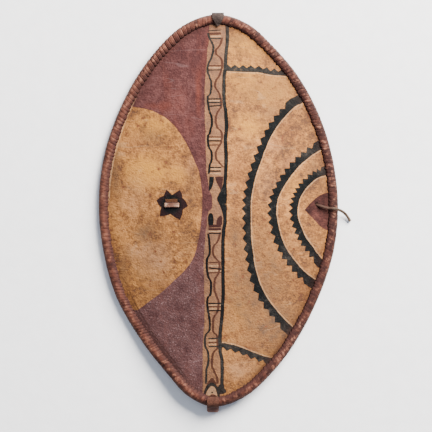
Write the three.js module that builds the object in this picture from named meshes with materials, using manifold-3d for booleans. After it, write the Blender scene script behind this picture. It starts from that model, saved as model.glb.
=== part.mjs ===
// Oval rawhide shield, lying on its back with the painted face up.
// Millimetres. +Z up, +Y towards the upper tip, origin on the ground under the middle of the length.

import * as THREE from 'three';
import { mergeVertices } from 'three/addons/utils/BufferGeometryUtils.js';
import Module from 'manifold-3d';

// Outline, to the outer edge of the rim: half width, and reach from the widest line to each tip
const halfWidth = 269.6;
const upperTipReach = 430.4;
const lowerTipReach = 450.7;
// Stations from the widest line to each tip: share of the reach, then shares of the half width, which are
// the width there and how far the middle of the hand-cut outline strays to the right
const upperStations = [
  [0.24, 0.96, -0.0026],
  [0.47, 0.847, -0.0015],
  [0.68, 0.671, -0.0063],
  [0.857, 0.438, -0.0174],
  [0.957, 0.24, -0.0137],
  [1, 0, -0.013],
];
const lowerStations = [
  [0.23, 0.961, 0.0007],
  [0.459, 0.842, -0.0074],
  [0.669, 0.65, 0.0033],
  [0.829, 0.444, 0.0067],
  [0.949, 0.238, -0.0122],
  [1, 0, -0.0256],
];

// Rawhide panel
const hideThickness = 5;
const crownHeight = 70;
const rimwardFlare = 0.3;
const ridgeHeight = 3;
const ridgeHalfWidth = 34;
const ridgeFadeShare = 0.2;

// Whipped rim
const rimWidth = 24;
const rimHeight = 20;
const hideBite = 2;
const rimLiftStart = 0.5;

// Stave behind the hide, with the hand grip in its middle: how far its ends stand out past the rim's tips
const staveUpperReach = 2.05;
const staveLowerReach = 13.9;
const staveWidth = 27;
const staveThickness = 12;
const staveCorner = 2;
const staveWear = 3;
const staveLean = 0.0126;
const staveShift = -6.7;
const gripLength = 116;
const gripWidth = 31;
const gripThickness = 29;
const gripTaper = 46;
const gripTaperShares = [0, 0.25, 0.5, 0.75, 1];

// Leather tongues that lap the rim at the tips
const tongueThickness = 2.6;
const upperTongueReach = 28.5;
const upperTongueWidth = 26.5;
const lowerTongueReach = 27;
const lowerTongueWidth = 27;
const lowerTongueTail = 18;
const tonguePoint = 18;
const tongueTipShare = 0.14;
const tongueStandOff = 3.4;
const tongueHem = 1;
const lapStartAngle = 2.3;
const lapBends = 12;

// Strap stitched through two slits in the hide
const stitchX = -104;
const stitchY = 17;
const stitchSpan = 31;
const stitchWidth = 12;
const stitchThickness = 2.2;
const stitchTail = 26;

// Free thong: its route from the hole in the hide, over the rim and down to the ground
const thongDiameter = 6.2;
const thongSides = 10;
const thongSteps = 11;
const thongHoleSteps = 8;
const thongHolePoints = 5;
const thongRoute = [
  [216.5, 18.3, 19.6],
  [220, 17.4, 22.2],
  [223.8, 16.4, 24.6],
  [228, 15.2, 26.2],
  [232.5, 13.7, 26.3],
  [237, 12.2, 25.2],
  [242, 10.8, 24],
  [247, 9.9, 23.4],
  [252, 9.4, 23.7],
  [257, 8.9, 24.1],
  [262, 8.2, 23.9],
  [267, 7.1, 22.6],
  [271.6, 5.7, 20.3],
  [275.8, 3.9, 17.4],
  [279.8, 1.6, 14.2],
  [283.7, -1.3, 11.1],
  [287.5, -5, 8.3],
  [291, -9.4, 6],
  [294.2, -14.4, 4.4],
  [297.2, -19.6, 3.6],
];

// Room between pieces that touch
const clearance = 0.35;
const rimStations = 100;
const outerQuarterSides = 4;
const innerQuarterSides = 2;
const panelRings = [0.1, 0.2, 0.3, 0.4, 0.5, 0.59, 0.67, 0.74, 0.8, 0.86, 0.91, 0.955, 1];

const colours = {
  hide: '#c79f6f',
  rim: '#8d5a4a',
  wood: '#5c443c',
  greyLeather: '#7d6a5e',
  brownLeather: '#8f6248',
  paleLeather: '#c69c84',
  thong: '#84705c',
};

// The upper tongue's fold is the highest point in Y, the stave's lower end the lowest, with the origin between
const upperEndReach = upperTipReach + staveUpperReach + clearance + tongueThickness;
const lowerEndReach = lowerTipReach + staveLowerReach;
const widestY = (lowerEndReach - upperEndReach) / 2;
const upperTipY = widestY + upperTipReach;
const lowerTipY = widestY - lowerTipReach;
const crownY = (upperTipY + lowerTipY) / 2;
const staveUpperY = upperTipY + staveUpperReach;
const staveLowerY = lowerTipY - staveLowerReach;

const wasm = await Module();
wasm.setup();

function smoothStep(value) {
  const t = THREE.MathUtils.clamp(value, 0, 1);
  return t * t * (3 - 2 * t);
}

// One closed curve through the stations, down the right side and up the left side
function outlineCurve() {
  const rows = [
    ...[...upperStations].reverse().map(([reach, width, stray]) => [reach * upperTipReach, width, stray]),
    [0, 1, 0],
    ...lowerStations.map(([reach, width, stray]) => [-reach * lowerTipReach, width, stray]),
  ];
  const sidePoint = ([rise, width, stray], side) => (
    new THREE.Vector3((stray + side * width) * halfWidth, widestY + rise, 0)
  );
  const rightSide = rows.map((row) => sidePoint(row, 1));
  const leftSide = rows.slice(1, -1).reverse().map((row) => sidePoint(row, -1));
  return new THREE.CatmullRomCurve3([...rightSide, ...leftSide], true, 'catmullrom', 0.5);
}

// The rim lies on the ground along the sides and rises at the tips to clear the stave
function rimCentreHeight(y) {
  const upper = y > crownY;
  const underRim = upper ? clearance : tongueThickness + 2 * clearance;
  const share = Math.abs(y - crownY) / (upperTipY - crownY);
  const lift = (staveThickness + underRim) * smoothStep((share - rimLiftStart) / (1 - rimLiftStart));
  return rimHeight / 2 + lift;
}

// Stations round the shield, clockwise from the upper tip: rim centre, hide edge, inward direction
function rimStationList() {
  const outline = outlineCurve();
  const stations = [];
  for (let i = 0; i < rimStations; i += 1) {
    const outer = outline.getPointAt(i / rimStations);
    const tangent = outline.getTangentAt(i / rimStations);
    const inward = new THREE.Vector3(tangent.y, -tangent.x, 0).normalize();
    const height = rimCentreHeight(outer.y);
    const centre = outer.clone().addScaledVector(inward, rimWidth / 2).setZ(height);
    const edge = outer.clone().addScaledVector(inward, rimWidth / 2 - hideBite).setZ(height);
    stations.push({ centre, edge, inward });
  }
  return stations;
}

const stations = rimStationList();

// Point of the hide's edge in the direction of x, y as seen from the crown
function edgeInDirection(x, y) {
  const dx = x;
  const dy = y - crownY;
  for (let i = 0; i < rimStations; i += 1) {
    const a = stations[i].edge;
    const b = stations[(i + 1) % rimStations].edge;
    const crossA = dx * (a.y - crownY) - dy * a.x;
    const crossB = dx * (b.y - crownY) - dy * b.x;
    const ahead = dx * a.x + dy * (a.y - crownY) > 0;
    if (ahead && crossA >= 0 && crossB <= 0) {
      return a.clone().lerp(b, crossA / (crossA - crossB || 1));
    }
  }
  return stations[0].edge.clone();
}

// Height of the hide's middle surface: a dome over the rim, with a low ridge over the stave
function hideHeight(x, y) {
  const edge = edgeInDirection(x, y);
  const share = Math.hypot(x, y - crownY) / Math.hypot(edge.x, edge.y - crownY);
  const rise = (1 - share ** 2) * (1 - rimwardFlare * share ** 2);
  const crown = crownHeight - hideThickness / 2 - ridgeHeight;
  const ridge = ridgeHeight * Math.exp(-((x / ridgeHalfWidth) ** 2)) * smoothStep((1 - share) / ridgeFadeShare);
  return edge.z + (crown - edge.z) * rise + ridge;
}

function hideNormal(x, y) {
  const step = 0.5;
  const alongX = (hideHeight(x + step, y) - hideHeight(x - step, y)) / (2 * step);
  const alongY = (hideHeight(x, y + step) - hideHeight(x, y - step)) / (2 * step);
  return new THREE.Vector3(-alongX, -alongY, 1).normalize();
}

// Point at a distance from the hide's middle surface, positive on the painted side
function hidePoint(x, y, offset) {
  return new THREE.Vector3(x, y, hideHeight(x, y)).addScaledVector(hideNormal(x, y), offset);
}

function signedVolume(positions, indices) {
  const a = new THREE.Vector3();
  const b = new THREE.Vector3();
  const c = new THREE.Vector3();
  let volume = 0;
  for (let i = 0; i < indices.length; i += 3) {
    a.fromArray(positions, indices[i] * 3);
    b.fromArray(positions, indices[i + 1] * 3);
    c.fromArray(positions, indices[i + 2] * 3);
    volume += a.dot(b.cross(c)) / 6;
  }
  return volume;
}

// Closed solid through rings of equal count; an open row of rings is closed by a fan at each end
function loftGeometry(rings, closedRow = false) {
  const count = rings[0].length;
  const positions = rings.flat().flatMap((point) => point.toArray());
  const indices = [];
  const spans = closedRow ? rings.length : rings.length - 1;
  for (let i = 0; i < spans; i += 1) {
    const here = i * count;
    const next = ((i + 1) % rings.length) * count;
    for (let j = 0; j < count; j += 1) {
      const k = (j + 1) % count;
      indices.push(here + j, here + k, next + k);
      indices.push(here + j, next + k, next + j);
    }
  }
  if (!closedRow) {
    for (const end of [0, rings.length - 1]) {
      const middle = rings[end].reduce((sum, point) => sum.add(point), new THREE.Vector3());
      const pole = positions.length / 3;
      positions.push(...middle.divideScalar(count).toArray());
      for (let j = 0; j < count; j += 1) {
        const corner = [end * count + j, end * count + ((j + 1) % count)];
        indices.push(pole, ...(end === 0 ? corner.reverse() : corner));
      }
    }
  }
  if (signedVolume(positions, indices) < 0) {
    indices.reverse();
  }
  const geometry = new THREE.BufferGeometry();
  geometry.setAttribute('position', new THREE.Float32BufferAttribute(positions, 3));
  geometry.setIndex(indices);
  return geometry;
}

function toManifold(geometry) {
  const bare = geometry.clone();
  bare.deleteAttribute('normal');
  bare.deleteAttribute('uv');
  const merged = mergeVertices(bare, 1e-4);
  return new wasm.Manifold(new wasm.Mesh({
    numProp: 3,
    vertProperties: new Float32Array(merged.attributes.position.array),
    triVerts: new Uint32Array(merged.index.array),
  }));
}

function fromManifold(solid) {
  const mesh = solid.getMesh();
  const geometry = new THREE.BufferGeometry();
  geometry.setAttribute('position', new THREE.BufferAttribute(new Float32Array(mesh.vertProperties), 3));
  geometry.setIndex(new THREE.BufferAttribute(new Uint32Array(mesh.triVerts), 1));
  return geometry;
}

// Flat strip along a path: side is the direction of its width
function stripGeometry(path, widths, thickness, side) {
  const rings = path.map((point, i) => {
    const before = path[Math.max(i - 1, 0)];
    const after = path[Math.min(i + 1, path.length - 1)];
    const into = point.clone().sub(before).normalize();
    const out = after.clone().sub(point).normalize();
    const tangent = into.clone().add(out).normalize();
    const mitre = 1 / Math.max(tangent.dot(i > 0 ? into : out), 0.5);
    const up = new THREE.Vector3().crossVectors(tangent, side).normalize();
    const across = side.clone().multiplyScalar(widths[i] / 2);
    const rise = up.multiplyScalar((thickness / 2) * mitre);
    return [[1, 1], [-1, 1], [-1, -1], [1, -1]].map(([s, r]) => (
      point.clone().addScaledVector(across, s).addScaledVector(rise, r)
    ));
  });
  return loftGeometry(rings);
}

function thongCurve() {
  return new THREE.CatmullRomCurve3(thongRoute.map((point) => new THREE.Vector3(...point)));
}

function roundTube(curve, diameter, steps) {
  const section = new THREE.Shape();
  for (let i = 0; i < thongSides; i += 1) {
    const angle = (2 * Math.PI * i) / thongSides;
    const point = [Math.cos(angle) * diameter / 2, Math.sin(angle) * diameter / 2];
    if (i === 0) {
      section.moveTo(...point);
    } else {
      section.lineTo(...point);
    }
  }
  return new THREE.ExtrudeGeometry(section, { steps, extrudePath: curve });
}

// The stitch's bend from the face into a slit takes half its thickness and the clearance
const stitchBend = stitchThickness / 2 + clearance;
const slitWidth = 2 * Math.SQRT2 * stitchBend + clearance;

function slitCutter(x) {
  const slit = new THREE.BoxGeometry(slitWidth, stitchWidth + 2 * clearance, 4 * hideThickness);
  const tilt = new THREE.Quaternion().setFromUnitVectors(new THREE.Vector3(0, 0, 1), hideNormal(x, stitchY));
  slit.applyQuaternion(tilt);
  const centre = hidePoint(x, stitchY, 0);
  slit.translate(centre.x, centre.y, centre.z);
  return toManifold(slit);
}

// The thong's hole slants through the hide in line with the start of its route
function thongHoleCutter() {
  const line = thongRoute.slice(0, thongHolePoints).map((point) => new THREE.Vector3(...point));
  const step = line[1].clone().sub(line[0]);
  const behind = line[0].clone().addScaledVector(step, -hideThickness / (2 * step.z));
  const curve = new THREE.CatmullRomCurve3([behind, ...line]);
  return toManifold(roundTube(curve, thongDiameter + 4 * clearance, thongHoleSteps));
}

function hidePanel() {
  const ring = (share, offset) => stations.map(({ edge }) => (
    hidePoint(edge.x * share, crownY + (edge.y - crownY) * share, offset)
  ));
  const front = panelRings.map((share) => ring(share, hideThickness / 2));
  const back = panelRings.map((share) => ring(share, -hideThickness / 2)).reverse();
  let panel = toManifold(loftGeometry([...front, ...back]));
  for (const side of [-1, 1]) {
    panel = panel.subtract(slitCutter(stitchX + side * stitchSpan / 2));
  }
  return fromManifold(panel.subtract(thongHoleCutter()));
}

// Section of the rim at one station: an oval with a slot that takes the hide's edge at its own slope
function rimSection({ centre, edge, inward }) {
  const a = rimWidth / 2;
  const b = rimHeight / 2;
  const slotRun = rimWidth / 2 + hideBite;
  const lip = edge.clone().addScaledVector(inward, slotRun);
  const slope = Math.atan2(hideHeight(lip.x, lip.y) - edge.z, slotRun);
  const along = new THREE.Vector2(-Math.cos(slope), Math.sin(slope));
  const normal = new THREE.Vector2(Math.sin(slope), Math.cos(slope));
  const slotHalf = hideThickness / 2 + clearance;
  const slotEnd = new THREE.Vector2(hideBite, 0).addScaledVector(along, -clearance);
  const upperEnd = slotEnd.clone().addScaledVector(normal, slotHalf);
  const lowerEnd = slotEnd.clone().addScaledVector(normal, -slotHalf);
  const lipAngle = (start) => {
    const qa = (along.x / a) ** 2 + (along.y / b) ** 2;
    const qb = 2 * ((start.x * along.x) / a ** 2 + (start.y * along.y) / b ** 2);
    const qc = (start.x / a) ** 2 + (start.y / b) ** 2 - 1;
    const reach = (-qb + Math.sqrt(qb ** 2 - 4 * qa * qc)) / (2 * qa);
    const crossing = start.clone().addScaledVector(along, reach);
    return Math.atan2(crossing.y / b, crossing.x / a);
  };
  const upperLip = lipAngle(upperEnd);
  const lowerLip = lipAngle(lowerEnd);
  const turns = [upperLip, Math.PI / 2, 0, -Math.PI / 2, lowerLip > 0 ? lowerLip - 2 * Math.PI : lowerLip];
  const section = [lowerEnd, upperEnd];
  turns.slice(1).forEach((end, quarter) => {
    const start = turns[quarter];
    const sides = quarter === 0 || quarter === 3 ? innerQuarterSides : outerQuarterSides;
    for (let i = quarter === 0 ? 0 : 1; i <= sides; i += 1) {
      const angle = start + ((end - start) * i) / sides;
      section.push(new THREE.Vector2(a * Math.cos(angle), b * Math.sin(angle)));
    }
  });
  return section.map((point) => (
    centre.clone().addScaledVector(inward, -point.x).add(new THREE.Vector3(0, 0, point.y))
  ));
}

function staveCentre(y) {
  return staveShift + staveLean * y;
}

// The stave is a flat lath that swells into the grip, its back in one plane on the ground
function stave() {
  const gripEnd = gripLength / 2 + gripTaper;
  const rows = [
    staveLowerY,
    staveLowerY + staveWear,
    ...gripTaperShares.map((share) => -gripEnd + gripTaper * share),
    ...gripTaperShares.map((share) => gripLength / 2 + gripTaper * share),
    staveUpperY,
  ];
  const rings = rows.map((y) => {
    const swell = smoothStep((gripEnd - Math.abs(y)) / gripTaper);
    const wear = y === staveLowerY ? staveWear : 0;
    const half = THREE.MathUtils.lerp(staveWidth, gripWidth, swell) / 2 - wear;
    const top = THREE.MathUtils.lerp(staveThickness, gripThickness, swell) - wear / 3;
    const corner = THREE.MathUtils.lerp(staveCorner, gripThickness / 4, swell);
    const profile = [
      [-half + corner / 2, 0], [half - corner / 2, 0], [half, corner / 2], [half, top - corner],
      [half - corner, top], [-half + corner, top], [-half, top - corner], [-half, corner / 2],
    ];
    return profile.map(([x, z]) => new THREE.Vector3(staveCentre(y) + x, y, z));
  });
  return loftGeometry(rings);
}

// The rim bows inwards under the tongue's edges, so the tongue stands off a little on the rim's inner side
const tongueLap = clearance + tongueStandOff;

// Path round the rim's oval at a tip, from its inner shoulder to the angle where the lap ends
function lapPath(tipY, outward, lastAngle) {
  const centreY = tipY - outward * rimWidth / 2;
  const centreZ = rimCentreHeight(tipY);
  const innerReach = rimWidth / 2 + tongueLap + tongueThickness / 2;
  const outerReach = rimWidth / 2 + clearance + tongueThickness / 2;
  const rise = rimHeight / 2 + clearance + tongueThickness / 2;
  const path = [];
  for (let i = 0; i <= lapBends; i += 1) {
    const angle = lapStartAngle + ((lastAngle - lapStartAngle) * i) / lapBends;
    const reach = (Math.cos(angle) < 0 ? innerReach : outerReach) * Math.cos(angle);
    const z = centreZ + rise * Math.sin(angle);
    path.push(new THREE.Vector3(staveCentre(tipY), centreY + outward * reach, z));
  }
  return path;
}

// Two points on the hide: the tongue's apex, and half-way from it to the lap
function apexPath(tipY, outward, reach, lap) {
  const x = staveCentre(tipY);
  const apexY = tipY - outward * reach;
  const seat = (hideThickness + tongueThickness) / 2 + tongueLap;
  return [apexY, (apexY + lap[0].y) / 2].map((y) => hidePoint(x, y, seat).setX(x));
}

// Widths along a tongue: a blunt point at the apex that rounds out to the full width
function tongueWidths(path, fullWidth) {
  let run = 0;
  return path.map((point, i) => {
    run += i > 0 ? point.distanceTo(path[i - 1]) : 0;
    return fullWidth * THREE.MathUtils.clamp(Math.sqrt(run / tonguePoint), tongueTipShare, 1);
  });
}

function upperTongue() {
  const lap = lapPath(upperTipY, 1, 0);
  const path = [...apexPath(upperTipY, 1, upperTongueReach, lap), ...lap];
  const outerY = staveUpperY + clearance + tongueThickness / 2;
  const x = staveCentre(upperTipY);
  path.push(new THREE.Vector3(x, outerY, staveThickness + clearance));
  path.push(new THREE.Vector3(x, outerY, tongueHem + tongueThickness / 2));
  return stripGeometry(path, tongueWidths(path, upperTongueWidth), tongueThickness, new THREE.Vector3(1, 0, 0));
}

function lowerTongue() {
  const lap = lapPath(lowerTipY, -1, -Math.PI / 2);
  const path = [...apexPath(lowerTipY, -1, lowerTongueReach, lap), ...lap];
  const last = path[path.length - 1];
  path.push(last.clone().add(new THREE.Vector3(0, lowerTongueTail, 0)));
  return stripGeometry(path, tongueWidths(path, lowerTongueWidth), tongueThickness, new THREE.Vector3(1, 0, 0));
}

// The strap shows between the slits, dives through them and lies flat behind the hide
function starStitch() {
  const face = (hideThickness + stitchThickness) / 2 + 1.5 * clearance;
  const slit = stitchSpan / 2;
  const half = [
    [slit + stitchBend + stitchTail, -face],
    [slit + stitchBend + stitchTail / 2, -face],
    [slit + stitchBend, -face],
    [slit, -hideThickness / 2],
    [slit, hideThickness / 2],
    [slit - stitchBend, face],
  ];
  const otherHalf = [...half].reverse().map(([along, offset]) => [-along, offset]);
  const path = [...half, [0, face], ...otherHalf].map(([along, offset]) => (
    hidePoint(stitchX + along, stitchY, offset)
  ));
  const widths = path.map(() => stitchWidth);
  return stripGeometry(path, widths, stitchThickness, new THREE.Vector3(0, 1, 0));
}

function addPiece(name, geometry, colour, roughness) {
  geometry.computeVertexNormals();
  const material = new THREE.MeshStandardMaterial({ color: colour, roughness, metalness: 0 });
  const mesh = new THREE.Mesh(geometry, material);
  mesh.name = name;
  shield.add(mesh);
}

const shield = new THREE.Group();
addPiece('hide_panel', hidePanel(), colours.hide, 0.7);
addPiece('rim_binding', loftGeometry(stations.map(rimSection), true), colours.rim, 0.65);
addPiece('stave', stave(), colours.wood, 0.6);
addPiece('upper_tongue', upperTongue(), colours.greyLeather, 0.7);
addPiece('lower_tongue', lowerTongue(), colours.brownLeather, 0.7);
addPiece('star_stitch', starStitch(), colours.paleLeather, 0.65);
addPiece('edge_thong', roundTube(thongCurve(), thongDiameter, thongSteps), colours.thong, 0.7);

export default shield;
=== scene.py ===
# Oval rawhide shield lying on its back, its painted face up.
# Metres, +Z up, +Y towards the upper tip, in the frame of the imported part.

import functools
import math
import random
from types import SimpleNamespace

import bmesh
import bpy
import numpy
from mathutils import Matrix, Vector, noise


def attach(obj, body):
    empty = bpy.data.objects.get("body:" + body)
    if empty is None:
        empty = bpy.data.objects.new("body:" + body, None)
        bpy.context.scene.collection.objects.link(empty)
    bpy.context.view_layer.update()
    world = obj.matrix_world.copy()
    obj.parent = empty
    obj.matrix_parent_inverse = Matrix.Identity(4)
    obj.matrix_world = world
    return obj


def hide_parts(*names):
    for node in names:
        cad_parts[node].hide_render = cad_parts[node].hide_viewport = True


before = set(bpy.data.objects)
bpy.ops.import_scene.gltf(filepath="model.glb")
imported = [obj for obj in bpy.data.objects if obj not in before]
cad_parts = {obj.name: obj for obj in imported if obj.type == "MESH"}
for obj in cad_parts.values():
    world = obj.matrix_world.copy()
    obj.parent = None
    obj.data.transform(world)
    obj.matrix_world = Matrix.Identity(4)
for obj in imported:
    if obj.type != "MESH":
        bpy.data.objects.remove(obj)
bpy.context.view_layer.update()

camera = {
    "middle": (-0.0054, -0.0079, 0.015),  # point on the rim's plane in the middle of the picture
    "distance": 5.0,
    "pictureWidth": 0.972,  # what the picture takes in on that plane
    "sensor": 36.0,
}


def makeCamera():
    data = bpy.data.cameras.new("camera")
    data.sensor_width = camera["sensor"]
    data.lens = camera["sensor"] * camera["distance"] / camera["pictureWidth"]
    data.clip_end = 30
    piece = bpy.data.objects.new("camera", data)
    piece.location = Vector(camera["middle"]) + Vector((0, 0, camera["distance"]))
    bpy.context.scene.collection.objects.link(piece)
    bpy.context.scene.camera = piece


makeCamera()


def smoothStep(value):
    t = min(max(value, 0), 1)
    return t * t * (3 - 2 * t)


def mix(low, high, share):
    return low + (high - low) * share


def catmullRom(points, steps, closed=False):
    # Smooth line through the points, with steps samples from one to the next
    count = len(points)
    line = []
    for i in range(count if closed else count - 1):
        before = points[i - 1] if closed or i > 0 else points[0] * 2 - points[1]
        here = points[i]
        there = points[(i + 1) % count]
        if closed or i + 2 < count:
            after = points[(i + 2) % count]
        else:
            after = there * 2 - here
        for k in range(steps):
            t = k / steps
            bend = before * 2 - here * 5 + there * 4 - after
            turn = here * 3 - before - there * 3 + after
            line.append((here * 2 + (there - before) * t + bend * t * t + turn * t**3) / 2)
    if not closed:
        line.append(points[-1].copy())
    return line


def runsAlong(points):
    # Distance of each point from the first along the line
    runs = [0]
    for a, b in zip(points, points[1:]):
        runs.append(runs[-1] + (b - a).length)
    return runs


def tangentAt(line, i):
    return (line[min(i + 1, len(line) - 1)] - line[max(i - 1, 0)]).normalized()


def evenly(line, count, closed=False):
    # The same line resampled at equal distances
    points = line + [line[0]] if closed else line
    runs = runsAlong(points)
    spans = count if closed else count - 1
    columns = list(zip(*points))
    marks = [runs[-1] * i / spans for i in range(count)]
    return [Vector(p) for p in zip(*(numpy.interp(marks, runs, c).tolist() for c in columns))]


def bentGrid(along, around, place):
    # A grid whose vertices are placed by their numbers along and around, then closed up
    bm = bmesh.new()
    bmesh.ops.create_grid(bm, x_segments=along, y_segments=around, size=0.5)
    for vert in bm.verts:
        vert.co = place(round((vert.co.x + 0.5) * along), round((vert.co.y + 0.5) * around))
    bmesh.ops.remove_doubles(bm, verts=bm.verts, dist=1e-6)
    bmesh.ops.holes_fill(bm, edges=[edge for edge in bm.edges if edge.is_boundary])
    bmesh.ops.recalc_face_normals(bm, faces=bm.faces)
    return bm


def addObject(name, bm):
    mesh = bpy.data.meshes.new(name)
    bm.to_mesh(mesh)
    bm.free()
    piece = bpy.data.objects.new(name, mesh)
    bpy.context.scene.collection.objects.link(piece)
    return piece


def makePiece(name, bm, slot, node, material):
    for face in bm.faces:
        face.smooth = True
    piece = addObject(name, bm)
    piece.data.materials.append(material)
    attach(piece, "root")
    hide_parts(node)
    return piece


class Wire:
    # An output socket that can be used in sums; numbers alone are worked out in Python

    def __init__(self, tree, socket=None):
        self.tree = tree
        self.socket = socket

    def node(self, kind, settings=None, sockets=None, output=0):
        made = self.tree.nodes.new(kind)
        for key, value in (settings or {}).items():
            if key == "stops":
                ramp = made.color_ramp
                while len(ramp.elements) < len(value):
                    ramp.elements.new(0.5)
                for element, (place, colour) in zip(ramp.elements, value):
                    element.position = place
                    element.color = (*colour, 1)
            elif key == "bends":
                points, handle = value
                curve = made.mapping.curves[0]
                made.mapping.extend = "HORIZONTAL"
                while len(curve.points) < len(points):
                    curve.points.new(0.5, 0.5)
                for point, place in zip(curve.points, points):
                    point.location = place
                    point.handle_type = handle
                made.mapping.update()
            else:
                setattr(made, key, value)
        for key, value in (sockets or {}).items():
            if isinstance(value, Wire):
                self.tree.links.new(value.socket, made.inputs[key])
            else:
                made.inputs[key].default_value = value
        return Wire(self.tree, made.outputs[output])

    def maths(self, operation, *values, clamp=False):
        sockets = dict(enumerate((self, *values)))
        return self.node("ShaderNodeMath", {"operation": operation, "use_clamp": clamp}, sockets)

    def __add__(self, other):
        return self.maths("ADD", other)

    __radd__ = __add__

    def __sub__(self, other):
        return self.maths("SUBTRACT", other)

    def __rsub__(self, other):
        return self.node("ShaderNodeMath", {"operation": "SUBTRACT"}, {0: other, 1: self})

    def __mul__(self, other):
        return self.maths("MULTIPLY", other)

    __rmul__ = __mul__

    def __truediv__(self, other):
        return self.maths("DIVIDE", other)

    def __abs__(self):
        return self.maths("ABSOLUTE")

    def scaled(self, slope, offset, clamp=False):
        return self.maths("MULTIPLY_ADD", slope, offset, clamp=clamp)

    def above(self, edge, soft):
        # 1 over the edge, 0 under it, with a ramp as wide as soft
        if isinstance(edge, Wire):
            return (self - edge).above(0, soft)
        return self.scaled(1 / soft, 0.5 - edge / soft, clamp=True)

    def below(self, edge, soft):
        if isinstance(edge, Wire):
            return (self - edge).below(0, soft)
        return self.scaled(-1 / soft, 0.5 + edge / soft, clamp=True)

    def within(self, half, soft):
        return abs(self).below(half, soft)

    def between(self, low, high, soft):
        return self.above(low, soft) * self.below(high, soft)

    def spanning(self, rows, soft):
        # 1 between the first and the last input of a table's rows
        ends = (rows[0][0], rows[-1][0])
        return self.between(min(ends), max(ends), soft)

    def highest(self, other):
        return self.maths("MAXIMUM", other)

    def part(self, axis):
        return self.node("ShaderNodeSeparateXYZ", None, {"Vector": self}, axis)

    def attribute(self, name):
        return self.node("ShaderNodeAttribute", {"attribute_name": name}, None, "Fac")

    def noise(self, place, scale, detail=3.0, roughness=0.55, stretch=None, gain=2.4):
        # Noise about 0.5, spread to fill 0 to 1
        if stretch:
            place = place.node("ShaderNodeMapping", None, {"Vector": place, "Scale": stretch})
        sockets = {"Vector": place, "Scale": scale, "Detail": detail, "Roughness": roughness}
        return self.node("ShaderNodeTexNoise", None, sockets, "Fac").scaled(gain, 0.5 - 0.5 * gain)

    def scratches(self, place, degrees, scale, width):
        # Thin broken lines in one direction
        sockets = {"Vector": place, "Rotation": (0, 0, math.radians(degrees)), "Scale": (0.05, 1, 1)}
        turned = place.node("ShaderNodeMapping", None, sockets)
        lines = (self.noise(turned, scale, 1, 0.3, None, 1) - 0.5).within(width, width)
        return lines * self.noise(place, scale * 0.7, 2).above(0.62, 0.2)

    def ramp(self, stops):
        return self.node("ShaderNodeValToRGB", {"stops": stops}, {"Fac": self}, "Color")

    def bend(self, rows, pointed=False):
        # Value of a curve through (input, output) rows, smooth or with a point at each row
        rows = sorted(rows)
        low, high = rows[0][0], rows[-1][0]
        least = min(value for _, value in rows)
        most = max(value for _, value in rows)
        points = [((a - low) / (high - low), (b - least) / (most - least)) for a, b in rows]
        sockets = {"Value": self.scaled(1 / (high - low), low / (low - high))}
        settings = {"bends": (points, "VECTOR" if pointed else "AUTO_CLAMPED")}
        share = self.node("ShaderNodeFloatCurve", settings, sockets)
        return share.scaled(most - least, least)

    def tint(self, under, over):
        # Colour over laid on colour under where this mask is 1
        sockets = {0: self, 6: asSocket(under), 7: asSocket(over)}
        return self.node("ShaderNodeMix", {"data_type": "RGBA"}, sockets, 2)


def asSocket(colour):
    return colour if isinstance(colour, Wire) else (*colour, 1)


def highestOf(masks):
    return functools.reduce(Wire.highest, masks)


def lengthOf(dx, dy):
    return (dx * dx + dy * dy).maths("SQRT")


def bearingOf(dx, dy):
    return dy.maths("ARCTAN2", dx) * (180 / math.pi)


def startMaterial(name):
    material = bpy.data.materials.new(name)
    material.use_nodes = True
    tree = material.node_tree
    wire = Wire(tree)
    place = wire.node("ShaderNodeTexCoord", None, None, "Object")
    return material, wire, place


def finishMaterial(material, colour, roughness, height, depth, specular=0.35):
    shader = material.node_tree.nodes["Principled BSDF"]
    links = material.node_tree.links
    links.new(colour.socket, shader.inputs["Base Color"])
    links.new(roughness.socket, shader.inputs["Roughness"])
    shader.inputs["Specular IOR Level"].default_value = specular
    bump = height.node("ShaderNodeBump", None, {"Height": height, "Distance": depth}, "Normal")
    links.new(bump.socket, shader.inputs["Normal"])
    return material


outline = {
    "halfWidth": 0.2696,
    "widestY": 0.0146,
    "upperReach": 0.4304,
    "lowerReach": 0.4507,
    # share of the reach, then of the half width: width and stray of the middle
    "upperStations": [
        (0.24, 0.96, -0.0026),
        (0.47, 0.847, -0.0015),
        (0.68, 0.671, -0.0063),
        (0.857, 0.438, -0.0174),
        (0.957, 0.24, -0.0137),
        (1, 0, -0.013),
    ],
    "lowerStations": [
        (0.23, 0.961, 0.0007),
        (0.459, 0.842, -0.0074),
        (0.669, 0.65, 0.0033),
        (0.829, 0.444, 0.0067),
        (0.949, 0.238, -0.0122),
        (1, 0, -0.0256),
    ],
    "samples": 40,
}

hide = {
    "thickness": 0.005,
    "crown": 0.070,
    "flare": 0.3,
    "ridgeHeight": 0.003,
    "ridgeHalfWidth": 0.034,
    "ridgeFadeShare": 0.2,
    "edgeMarks": 3600,
    "rings": 88,
    "spokes": 360,
    "waves": [(7.0, 0.0011), (19.0, 0.0005)],  # how many to the metre, and how high
    "waveFadeShare": 0.12,
    "holeRoute": 5,  # how many points of the thong's route lie in its hole
    "holeSteps": 15,
    "holeAround": 20,
}

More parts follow.
